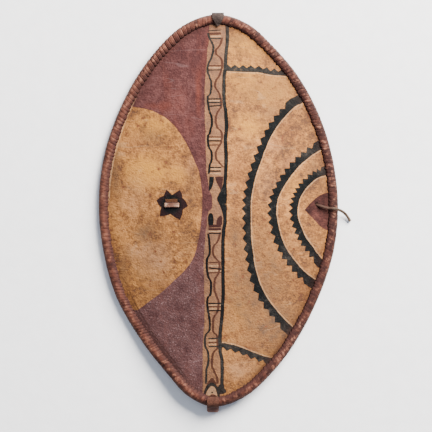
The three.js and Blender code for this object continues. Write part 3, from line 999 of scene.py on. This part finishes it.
def starMasks(on):
    # The whole star, the distance from its middle, and the way out of its bare oblong
    star = paint["star"]
    dx = on.x - star["centre"][0]
    dy = on.y - star["centre"][1]
    distance = lengthOf(dx, dy)
    # one over the radius, so that the sides between the points come out straight
    closeness = bearingOf(dx, dy).bend([(turn, 1 / radius) for turn, radius in star["radius"]], True)
    x, y, halfX, halfY = star["bare"]
    out = (abs(on.x - x) - halfX).highest(abs(on.y - y) - halfY) + (on.blotches - 0.5) * 3
    return (distance * closeness).below(1, 0.04), distance, out


def archMasks(on):
    # The black arch over the lower tongue, what lies under it, and the brown peak on it
    top = on.x.bend(paint["archTop"])
    span = on.x.spanning(paint["archTop"], 1)
    under = on.y.below(on.x.bend(paint["archUnder"]), 1) * span
    peak = on.y.below(on.x.bend(paint["archPeak"]), 1) * on.y.above(top, 1)
    return on.y.below(top, 1) * span * (1 - under), under, peak * on.x.spanning(paint["archPeak"], 1)


def blackPaint(on, star, fromStar):
    # Near black, maroon in the star's points and worn to grey in places
    tone = toneOf(on, paint["blackTone"]).ramp(paint["black"])
    tone = (star * fromStar.above(22, 10) * 0.7).tint(tone, paint["maroon"])
    scuffed = abs(on.y).above(250, 60) * (on.spots * 0.35 + on.grain * 0.2)
    worn = stainMask(on.place, on.ragged, paint["wornStains"]) * (on.spots * 0.7 + on.grain * 0.4)
    return scuffed.highest(worn).tint(tone, paint["worn"])


def paintPattern(on, colour):
    # Arcs, bars, lines, leaves, star and arch over the fields
    toothed = [arcMasks(on, arc) for arc in paint["arcs"]] + [barMasks(on, bar) for bar in paint["bars"]]
    solid, pale = (highestOf(masks) for masks in zip(*toothed))
    bulge = on.x.above(on.y.bend(paint["bulge"]), 1) * on.x.below(on.line, 1)
    star, fromStar, outOfBare = starMasks(on)
    arch, on.underArch, peak = archMasks(on)
    holeX, holeY, holeRadius = paint["footHoleShade"]
    half = paint["hourglassHalf"]
    black = highestOf([
        solid * (1 - on.inBand),
        longLine(on, "blackLine", paint["blackLineHalf"]),
        bulge * on.y.spanning(paint["bulge"], 1),
        star * outOfBare.above(0, 1.5),
        arch,
        # painted shade of the hole at the lower tongue's tip
        lengthOf(on.x - holeX, on.y - holeY).below(holeRadius, 0.8),
        leafMask(on, [paint["footMass"]]),
        longLine(on, "leftUpper", half),
        longLine(on, "leftLower", half),
        crossBars(on, paint["darkBars"]),
        leafMask(on, paint["darkLeaves"]),
    ])
    brown = highestOf([
        longLine(on, "rightUpper", half),
        longLine(on, "rightLower", half),
        crossBars(on, paint["brownBars"]),
        peak,
    ])
    dull = leafMask(on, paint["redLeaves"]).highest(crossBars(on, paint["redBars"]))
    pale = pale.highest(crossBars(on, paint["paleBars"]))
    # painted shade round the stitch: the star's bare middle is darkened to a dull red
    stitchShade = star * outOfBare.below(0, 1.5)
    for mask, paintColour in (
        (on.underArch * (0.2 + on.spots * 0.35), paint["pale"]),
        (pale * (0.25 + on.spots * 0.35), paint["pale"]),
        (dull * 0.95, paint["dullRed"]),
        (brown * 0.92, paint["brown"]),
        (stitchShade * (0.6 + on.spots * 0.3), paint["dullRed"]),
        (black * (1 - on.spots.above(1.05, 0.3) * 0.2), blackPaint(on, star, fromStar)),
    ):
        colour = mask.tint(colour, paintColour)
    return colour


def trimAndShadeAtRim(on, colour):
    # The pale trimmed edge at the left, then painted shade: the dark line of a groove beside the rim, and
    # the darkening along the rim
    trimmed = on.fromRim.within(2, 1.5) * on.y.between(*paint["cutEdge"], 30) * on.x.below(0, 1)
    colour = (trimmed * (on.spots * 0.6 + 0.1)).tint(colour, paint["pale"])
    # painted shade along the rim, strongest next to it and in the lower part
    rimShade = on.fromRim.bend(paint["rimShadeByEdge"]) * on.y.bend(paint["rimShadeByHeight"])
    rimShade = rimShade * (1 - trimmed.highest(on.underArch))
    away, half, low, high = paint["creaseShadeLine"]
    # painted shade: a dark line beside the rim on the lower left, for the shade of a groove there
    creaseShade = (on.fromRim - away).within(half, 2.5) * on.y.between(low, high, 60) * on.x.below(-20, 10)
    rimShade = rimShade.highest(creaseShade * 0.75)
    return (rimShade * (on.blotches * 0.5 + on.spots * 0.4 + 0.35)).tint(colour, paint["rimShade"])


def hideMaterial():
    on = hideFields()
    layOutFields(on)
    colour, scratches = bareHide(on)
    colour = (on.inBand * 0.6).tint(colour, paint["bandTan"])
    colour = (on.redField * (1 - on.grain.above(0.95, 0.3) * 0.1)).tint(colour, redPaint(on))
    # its upper part is darkened as painted shade under the thong and round its hole
    wedgeTone = toneOf(on, paint["wedgeTone"]) - on.y.above(4, 30) * 0.3
    colour = (on.wedge * 0.85).tint(colour, wedgeTone.ramp(paint["wedgeRed"]))
    colour = trimAndShadeAtRim(on, paintPattern(on, colour))

    facing = on.place.node("ShaderNodeTexCoord", None, None, "Normal").part("Z")
    hair = on.wire.noise(on.place, *paint["hair"])
    raw = (on.clouds * 0.4 + on.blotches * 0.35 + hair * 0.3).ramp(paint["rawBack"])
    colour = facing.above(0.1, 0.1).tint(raw, colour)
    height = on.grain * 0.5 + on.blotches * 0.7 - scratches * 0.15
    return finishMaterial(on.material, colour, on.grain.scaled(0.15, 0.72), height, 0.0012, 0.05)


def slitCutter(x, y, width, length, depth):
    bm = bmesh.new()
    bmesh.ops.create_cube(bm, size=1)
    bmesh.ops.scale(bm, verts=bm.verts, vec=(width, length, depth))
    turn = Vector((0, 0, 1)).rotation_difference(hideNormal(x, y)).to_matrix()
    bmesh.ops.rotate(bm, verts=bm.verts, cent=(0, 0, 0), matrix=turn)
    bmesh.ops.translate(bm, verts=bm.verts, vec=hidePoint(x, y, 0))
    return bm


def holeCutter():
    steps = hide["holeSteps"]
    line = [Vector(point) for point in thong["route"][: hide["holeRoute"]]]
    step = line[1] - line[0]
    line.insert(0, line[0] - step * (hide["thickness"] / (2 * step.z)))
    line = evenly(catmullRom(line, 6), steps + 1)
    radius = thong["width"] / 2 + 2 * rim["clearance"]

    def place(i, k):
        tangent = tangentAt(line, i)
        side = tangent.cross(Vector((0, 0, 1))).normalized()
        angle = 2 * math.pi * k / hide["holeAround"]
        return line[i] + (side * math.cos(angle) + side.cross(tangent) * math.sin(angle)) * radius

    return bentGrid(steps, hide["holeAround"], place)


def cutFrom(piece, shapes):
    cutters = [addObject("cutter", bm) for bm in shapes]
    for i, cutter in enumerate(cutters):
        cut = piece.modifiers.new(f"cut{i}", "BOOLEAN")
        cut.operation = "DIFFERENCE"
        cut.solver = "EXACT"
        cut.object = cutter
    bpy.context.view_layer.update()
    shaped = bpy.data.meshes.new_from_object(piece.evaluated_get(bpy.context.evaluated_depsgraph_get()))
    piece.modifiers.clear()
    piece.data = shaped
    for cutter in cutters:
        bpy.data.objects.remove(cutter)


stitch = {
    "x": -0.104,
    "y": 0.017,
    "span": 0.031,
    "width": 0.012,
    "thickness": 0.0022,
    "tail": 0.026,
    "clearance": 0.00035,
    "pale": (0.37, 0.22, 0.15),
    "middle": (0.155, 0.073, 0.048),
    "brown": (0.1, 0.042, 0.028),
    "dark": (0.03, 0.013, 0.01),
}
stitch["bend"] = stitch["thickness"] / 2 + stitch["clearance"]
stitch["slit"] = 2 * math.sqrt(2) * stitch["bend"] + stitch["clearance"]


def makeHide():
    bm = bmesh.new()
    shares = [i / hide["rings"] for i in range(hide["rings"] + 1)]
    profile = [(share, 1) for share in shares] + [(share, -1) for share in shares[::-1]]
    chain = [bm.verts.new((share, 0, side)) for share, side in profile]
    edges = [bm.edges.new(pair) for pair in zip(chain, chain[1:])]
    bmesh.ops.spin(
        bm,
        geom=chain + edges,
        cent=(0, 0, 0),
        axis=(0, 0, 1),
        angle=2 * math.pi,
        steps=hide["spokes"],
        use_merge=True,
    )
    bmesh.ops.remove_doubles(bm, verts=bm.verts, dist=1e-6)
    edgeLayer = bm.verts.layers.float.new("toEdge")
    for vert in bm.verts:
        share = math.hypot(vert.co.x, vert.co.y)
        angle = math.atan2(vert.co.y, vert.co.x)
        radius, _ = edgeToward(angle)
        vert[edgeLayer] = (1 - share) * radius
        x = math.cos(angle) * radius * share
        y = crownY + math.sin(angle) * radius * share
        vert.co = hidePoint(x, y, math.copysign(hide["thickness"] / 2, vert.co.z))
    bmesh.ops.recalc_face_normals(bm, faces=bm.faces)
    piece = makePiece("hidePanel", bm, "painted_hide", "hide_panel", hideMaterial())
    cuts = [
        slitCutter(stitch["x"] + side * stitch["span"] / 2, stitch["y"], stitch["slit"],
                   stitch["width"] + 2 * stitch["clearance"], 4 * hide["thickness"])
        for side in (-1, 1)
    ]
    cutFrom(piece, cuts + [holeCutter()])
    print("hide made,", len(piece.data.polygons), "faces")


makeHide()


def turnLayout(perimeter):
    # Where each turn of the strip starts along the rim, its bulge and how far its lip strays
    chance = random.Random(rim["seed"])
    shares, pitches, bulges = zip(*rim["turns"])
    starts, looks = [], []
    run = 0
    while run < perimeter:
        share = run / perimeter
        pitch = float(numpy.interp(share, shares, pitches)) * chance.uniform(*rim["pitchSpread"])
        bulge = float(numpy.interp(share, shares, bulges)) * chance.uniform(*rim["bulgeSpread"])
        starts.append(run)
        looks.append((bulge, chance.uniform(-rim["jog"], rim["jog"])))
        run += pitch
    scale = perimeter / run
    return [start * scale for start in starts] + [perimeter], looks


def rimSection(centre, edge, inward):
    # Of the strip's section, as (outwards, up): the slot's two inner corners, the angles on the oval
    # at which its lips start, and the slot's direction
    a = rim["width"] / 2
    b = rim["height"] / 2
    slotRun = a + rim["bite"]
    lip = edge + inward * slotRun
    slope = math.atan2(hideHeight(lip.x, lip.y) - edge.z, slotRun)
    along = Vector((-math.cos(slope), math.sin(slope)))
    normal = Vector((math.sin(slope), math.cos(slope)))
    slotHalf = hide["thickness"] / 2 + rim["clearance"]
    slotEnd = Vector((rim["bite"], 0)) - along * rim["clearance"]
    ends = [slotEnd - normal * slotHalf, slotEnd + normal * slotHalf]

    def lipAngle(start):
        qa = (along.x / a) ** 2 + (along.y / b) ** 2
        qb = 2 * (start.x * along.x / a**2 + start.y * along.y / b**2)
        qc = (start.x / a) ** 2 + (start.y / b) ** 2 - 1
        crossing = start + along * ((-qb + math.sqrt(qb**2 - 4 * qa * qc)) / (2 * qa))
        return math.atan2(crossing.y / b, crossing.x / a)

    upperLip = lipAngle(ends[1])
    lowerLip = lipAngle(ends[0])
    if lowerLip > 0:
        lowerLip -= 2 * math.pi
    return ends, upperLip, lowerLip, along


def rimMaterial():
    material, wire, place = startMaterial("rimLeather")
    turn = wire.attribute("turnPlace")
    sweep = wire.attribute("sweep")
    deep = wire.attribute("turnDepth").scaled(0.8, 0.15, True)
    across = turn.maths("FRACT")
    settings = {"noise_dimensions": "1D"}
    shade = turn.node("ShaderNodeTexWhiteNoise", settings, {"W": turn.maths("FLOOR")}, "Value")
    crest = 1 - abs(across * 2 - 1).maths("POWER", 5)
    strands = abs((across * 3).maths("FRACT") - 0.5) * -2 + 1
    broad = wire.noise(place, 14, 4)
    patches = wire.noise(place, 7, 3)
    blotch = wire.noise(place, 90, 4, 0.6)
    fine = wire.noise(place, 500, 3, 0.6)
    # the last term darkens the right side and lightens the left: painted shade and light against the key
    # light from the right
    tone = broad * 0.35 + blotch * 0.4 + shade * 0.4 + fine * 0.3 + place.part("X").scaled(-0.8, -0.36)
    # painted highlight: lighter on the crests of the turns, where they would catch the light
    paintedLight = blotch.above(0.7, 0.4) * crest.above(0.7, 0.3) * sweep.bend(rim["highlightBySweep"])
    colour = (paintedLight * 0.75).tint(tone.ramp(rim["leather"]), rim["paintedLight"])
    colour = (sweep.bend(rim["greyBySweep"]) * broad).tint(colour, rim["grey"])
    # painted shade: the inner flank against the hide and the grooves between turns are darkened, the deeper
    # the darker
    inner = (sweep - patches * 0.12).below(0.06, 0.1)
    colour = (inner * 0.9).tint(colour, rim["inner"])
    grooveShade = crest.below(0.3, 0.6) * deep
    colour = (grooveShade * sweep.bend(rim["grooveShadeBySweep"])).tint(colour, rim["inner"])
    # painted shade: dark spots between the turns at the inner lip, for the holes the strip goes through
    holeShade = crest.below(0.55, 0.4) * sweep.below(0.07, 0.06)
    colour = holeShade.tint(colour, rim["holeShade"])
    height = blotch * 0.4 + fine * 0.4 + crest * deep * 0.9 + strands * patches.above(0.4, 0.4) * 0.4
    return finishMaterial(material, colour, 0.66 + fine * 0.2, height, 0.0009, 0.15)


def makeRim():
    steps = rim["steps"]
    perimeter = sum((stations[(i + 1) % steps][0] - stations[i][0]).length for i in range(steps))
    starts, looks = turnLayout(perimeter)
    sections = [rimSection(*station) for station in stations]
    a = rim["width"] / 2
    b = rim["height"] / 2
    bm = bmesh.new()
    bmesh.ops.create_grid(bm, x_segments=steps, y_segments=rim["around"], size=0.5)
    placeLayer = bm.verts.layers.float.new("turnPlace")
    sweepLayer = bm.verts.layers.float.new("sweep")
    depthLayer = bm.verts.layers.float.new("turnDepth")
    for vert in bm.verts:
        i = round((vert.co.x + 0.5) * steps) % steps
        k = round((vert.co.y + 0.5) * rim["around"]) % rim["around"]
        centre, edge, inward = stations[i]
        ends, upperLip, lowerLip, along = sections[i]
        sweep = max((k - 2) / (rim["around"] - 3), 0)
        run = perimeter * i / steps
        lean = rim["lean"] + rim["leanStray"] * noise.noise(Vector((run * 6, 0, 2)))
        run += lean * (0.25 - sweep) * 2 + rim["wander"] * noise.noise(Vector((run * 40, sweep * 3, 5)))
        run %= perimeter
        number = min(int(numpy.searchsorted(starts, run, side="right")) - 1, len(looks) - 1)
        share = (run - starts[number]) / (starts[number + 1] - starts[number])
        bulge, jog = looks[number]
        crest = 1 - abs(2 * share - 1) ** rim["crestPower"]
        if k < 2:
            point = ends[k]
        else:
            angle = mix(upperLip, lowerLip, sweep)
            outward = Vector((math.cos(angle) / a, math.sin(angle) / b)).normalized()
            point = Vector((a * math.cos(angle), b * math.sin(angle)))
            rough = rim["rough"] * noise.noise(centre * 90 + Vector((0, 0, sweep * 4)))
            point += outward * (bulge * (crest - rim["crestMiddle"]) + rough)
            if k in (2, rim["around"] - 1):
                point += along * (rim["lipReach"] * (crest - rim["lipMiddle"]) + jog)
        vert.co = centre - inward * point.x + Vector((0, 0, point.y))
        vert[placeLayer] = number + share
        vert[sweepLayer] = sweep
        vert[depthLayer] = bulge / rim["deepest"]
    bmesh.ops.remove_doubles(bm, verts=bm.verts, dist=1e-6)
    bmesh.ops.recalc_face_normals(bm, faces=bm.faces)
    makePiece("rimBinding", bm, "rim_leather", "rim_binding", rimMaterial())
    print("rim made,", len(looks), "turns")


makeRim()


stave = {
    "upperY": 0.44705,
    "lowerY": -0.45,
    "width": 0.027,
    "thickness": 0.012,
    "wear": 0.003,
    "lean": 0.0126,
    "shift": -0.0067,
    "gripLength": 0.116,
    "gripWidth": 0.031,
    "gripThickness": 0.029,
    "gripTaper": 0.046,
    "steps": 220,
    "around": 32,
    "hewn": 0.0003,
    "square": 5,  # squareness of the section
    "gripSquare": 2.6,
    "crowding": 0.02,  # how much the rows crowd towards the ends
    "wood": [(0.2, (0.06, 0.024, 0.02)), (0.5, (0.13, 0.054, 0.043)), (0.8, (0.22, 0.1, 0.078))],
    "paintedLight": (0.25, 0.12, 0.085),
    "lightenedBelow": -0.434,  # y under which the end that shows is made lighter, painted light on the end that lies in the rim's shade
}


def staveCentre(y):
    return stave["shift"] + stave["lean"] * y


def woodMaterial():
    material, wire, place = startMaterial("darkWood")
    grain = wire.noise(place, 160, 5, 0.6, (1, 0.06, 1))
    streaks = wire.noise(place, 45, 3, 0.5, (1, 0.12, 1))
    worn = wire.noise(place, 12, 3)
    tone = grain * 0.5 + streaks * 0.35 + worn * 0.15
    # painted light: the end that shows is lightened, though it lies in the rim's shade
    end = place.part("Y").below(stave["lightenedBelow"], 0.008)
    colour = (end * 0.7).tint(tone.ramp(stave["wood"]), stave["paintedLight"])
    return finishMaterial(material, colour, 0.42 + grain * 0.3, grain + streaks * 0.5, 0.001)


def makeStave():
    gripEnd = stave["gripLength"] / 2 + stave["gripTaper"]

    def place(i, k):
        t = i / stave["steps"]
        y = mix(stave["lowerY"], stave["upperY"], t - math.sin(4 * math.pi * t) * stave["crowding"])
        swell = smoothStep((gripEnd - abs(y)) / stave["gripTaper"])
        wear = stave["wear"] * max(0, 1 - (y - stave["lowerY"]) / stave["wear"])
        half = mix(stave["width"], stave["gripWidth"], swell) / 2 - wear
        top = mix(stave["thickness"], stave["gripThickness"], swell) - wear / 3
        power = mix(stave["square"], stave["gripSquare"], swell)
        angle = 2 * math.pi * k / stave["around"]
        cosine, sine = math.cos(angle), math.sin(angle)
        x = half * math.copysign(abs(cosine) ** (2 / power), cosine)
        z = top / 2 * (1 + math.copysign(abs(sine) ** (2 / power), sine))
        cut = stave["hewn"] * noise.noise(Vector((x * 60, y * 25, z * 60)))
        return Vector((staveCentre(y) + x - math.copysign(abs(cut), x), y, min(max(z - cut, 0), top)))

    bm = bentGrid(stave["steps"], stave["around"], place)
    makePiece("staveLath", bm, "dark_wood", "stave", woodMaterial())
    print("stave made")


makeStave()


tongue = {
    "thickness": 0.0026,
    "upperReach": 0.0285,
    "upperWidth": 0.0265,
    "upperPoint": (0.021, 0.68),  # length, and the power by which it widens
    "lowerReach": 0.03,
    "lowerWidth": 0.027,
    "lowerPoint": (0.012, 0.5),
    "lowerTail": 0.018,
    "tipShare": 0.14,
    "standOff": 0.0034,
    "hem": 0.001,
    "lapStart": 2.3,
    "lapBends": 12,
    "clearance": 0.00035,
    "across": 12,
    "steps": 44,
    "grainScale": 60,
    "grey": [(0.2, (0.012, 0.0075, 0.0062)), (0.5, (0.026, 0.0165, 0.0138)), (0.8, (0.05, 0.034, 0.029))],
    "brown": [(0.2, (0.028, 0.01, 0.0065)), (0.5, (0.055, 0.02, 0.0125)), (0.8, (0.1, 0.039, 0.024))],
}
tongue["lap"] = tongue["clearance"] + tongue["standOff"]


def lapPath(tipY, outward, lastAngle):
    # Round the rim's oval at a tip, from its inner shoulder
    half = tongue["thickness"] / 2
    centreY = tipY - outward * rim["width"] / 2
    centreZ = rimCentreHeight(tipY)
    rise = rim["height"] / 2 + tongue["clearance"] + half
    path = []
    for i in range(tongue["lapBends"] + 1):
        angle = mix(tongue["lapStart"], lastAngle, i / tongue["lapBends"])
        reach = rim["width"] / 2 + half + (tongue["lap"] if math.cos(angle) < 0 else tongue["clearance"])
        y = centreY + outward * reach * math.cos(angle)
        z = centreZ + rise * math.sin(angle)
        path.append(Vector((staveCentre(tipY), y, z)))
    return path


def apexPath(tipY, outward, reach, lap):
    x = staveCentre(tipY)
    apexY = tipY - outward * reach
    seat = (hide["thickness"] + tongue["thickness"]) / 2 + tongue["lap"]
    points = [hidePoint(x, y, seat) for y in (apexY, (apexY + lap[0].y) / 2)]
    return [Vector((x, point.y, point.z)) for point in points]


strip = {
    "waver": 0.03,  # how much the width varies
    "waverScale": 120,
    "bevelShare": 0.28,
}


def makeStrip(name, path, side, settings):
    # A flat strip along a path, rounded by its modifiers
    line = evenly(path, settings["steps"] + 1)
    runs = runsAlong(line)
    bm = bmesh.new()
    bmesh.ops.create_grid(bm, x_segments=settings["steps"], y_segments=settings["across"], size=0.5)
    for vert in bm.verts:
        i = round((vert.co.x + 0.5) * settings["steps"])
        across = vert.co.y * 2
        share = 1
        if settings["point"]:
            pointLength, power = settings["point"]
            share = min(max((runs[i] / pointLength) ** power, settings["tipShare"]), 1)
        waver = 1 + strip["waver"] * noise.noise(line[i] * strip["waverScale"])
        vert.co = line[i] + side * across * (settings["width"] / 2 * share * waver)
    bmesh.ops.recalc_face_normals(bm, faces=bm.faces)
    piece = makePiece(name, bm, settings["slot"], settings["node"], settings["material"])
    thick = piece.modifiers.new("thickness", "SOLIDIFY")
    thick.thickness = settings["thickness"]
    thick.offset = 0
    edges = piece.modifiers.new("roundedEdge", "BEVEL")
    edges.width = settings["thickness"] * strip["bevelShare"]
    edges.segments = 2
    return piece


def leatherMaterial(name, stops):
    material, wire, place = startMaterial(name)
    broad = wire.noise(place, tongue["grainScale"], 4)
    fine = wire.noise(place, tongue["grainScale"] * 9, 3, 0.6)
    colour = (broad * 0.6 + fine * 0.4).ramp(stops)
    return finishMaterial(material, colour, 0.6 + fine * 0.25, broad * 0.5 + fine, 0.0007, 0.12)


def makeTongue(which, path, leather):
    settings = {key: tongue[key] for key in ("thickness", "tipShare", "across", "steps")}
    settings["width"] = tongue[which + "Width"]
    settings["point"] = tongue[which + "Point"]
    settings["slot"] = leather + "_leather"
    settings["node"] = which + "_tongue"
    settings["material"] = leatherMaterial(leather + "Leather", tongue[leather])
    makeStrip(which + "Tongue", path, Vector((1, 0, 0)), settings)


def makeTongues():
    lap = lapPath(upperTipY, 1, 0)
    path = apexPath(upperTipY, 1, tongue["upperReach"], lap) + lap
    x = staveCentre(upperTipY)
    outerY = stave["upperY"] + tongue["clearance"] + tongue["thickness"] / 2
    path.append(Vector((x, outerY, stave["thickness"] + tongue["clearance"])))
    path.append(Vector((x, outerY, tongue["hem"] + tongue["thickness"] / 2)))
    makeTongue("upper", path, "grey")

    lap = lapPath(lowerTipY, -1, -math.pi / 2)
    path = apexPath(lowerTipY, -1, tongue["lowerReach"], lap) + lap
    path.append(path[-1] + Vector((0, tongue["lowerTail"], 0)))
    makeTongue("lower", path, "brown")
    print("tongues made")


def stitchMaterial():
    # Pale at its two ends, brown in its middle and dark along its sides
    material, wire, place = startMaterial("paleLeather")
    x = place.part("X") - stitch["x"]
    y = place.part("Y") - stitch["y"]
    broad = wire.noise(place, 90, 4)
    fine = wire.noise(place, 700, 3, 0.6)
    stops = [(0.1, stitch["brown"]), (0.5, stitch["middle"]), (0.8, stitch["pale"])]
    colour = (broad * 0.5 + fine * 0.2 + abs(x) * 36 - 0.12).ramp(stops)
    colour = abs(y).above(stitch["width"] * 0.36, 0.0008).tint(colour, stitch["dark"])
    return finishMaterial(material, colour, 0.6 + fine * 0.25, broad * 0.5 + fine, 0.0007, 0.12)


def makeStitch():
    face = (hide["thickness"] + stitch["thickness"]) / 2 + 1.5 * stitch["clearance"]
    slit = stitch["span"] / 2
    half = [
        (slit + stitch["bend"] + stitch["tail"], -face),
        (slit + stitch["bend"] + stitch["tail"] / 2, -face),
        (slit + stitch["bend"], -face),
        (slit, -hide["thickness"] / 2),
        (slit, hide["thickness"] / 2),
        (slit - stitch["bend"], face),
    ]
    rows = half + [(0, face)] + [(-along, offset) for along, offset in half[::-1]]
    path = [hidePoint(stitch["x"] + along, stitch["y"], offset) for along, offset in rows]
    settings = {
        "thickness": stitch["thickness"],
        "width": stitch["width"],
        "point": None,
        "across": 8,
        "steps": 120,
        "slot": "pale_leather",
        "node": "star_stitch",
        "material": stitchMaterial(),
    }
    makeStrip("starStitch", path, Vector((0, 1, 0)), settings)
    print("stitch made")


makeTongues()
makeStitch()


studio = {
    "floorSize": 7,
    "floorDrop": 0.0002,
    "floorColour": [(0.2, (0.94, 0.94, 0.95)), (0.8, (0.97, 0.97, 0.975))],
    "keyPlace": (2.9, 3.7, 3.0),
    "keySize": 3.5,
    "keyPower": 2050,
    "keyColour": (1, 0.965, 0.92),
    "fillPlace": (-2.2, 1.2, 3),
    "fillSize": 3,
    "fillPower": 25,
    "fillColour": (1, 1, 1),
    "skyColour": (0.7, 0.8, 1),
    "skyStrength": 0.5,
}


def areaLight(name, place, size, power, colour):
    data = bpy.data.lights.new(name, "AREA")
    data.size = size
    data.energy = power
    data.color = colour
    light = bpy.data.objects.new(name, data)
    light.location = place
    light.rotation_euler = (-Vector(place)).to_track_quat("-Z", "Y").to_euler()
    bpy.context.scene.collection.objects.link(light)


def makeStudio():
    bm = bmesh.new()
    bmesh.ops.create_grid(bm, x_segments=2, y_segments=2, size=studio["floorSize"] / 2)
    bmesh.ops.translate(bm, verts=bm.verts, vec=(0, 0, -studio["floorDrop"]))
    material, wire, place = startMaterial("paper")
    speck = wire.noise(place, 30, 3)
    colour = speck.ramp(studio["floorColour"])
    floor = addObject("floor", bm)
    floor.data.materials.append(finishMaterial(material, colour, 0.8 + speck * 0.1, speck, 0.0002, 0.2))
    for kind in ("key", "fill"):
        look = [studio[kind + part] for part in ("Place", "Size", "Power", "Colour")]
        areaLight(kind + "Light", *look)
    world = bpy.data.worlds.new("sky")
    bpy.context.scene.world = world
    world.use_nodes = True
    sky = world.node_tree.nodes["Background"]
    sky.inputs["Color"].default_value = (*studio["skyColour"], 1)
    sky.inputs["Strength"].default_value = studio["skyStrength"]
    print("studio made")


makeStudio()
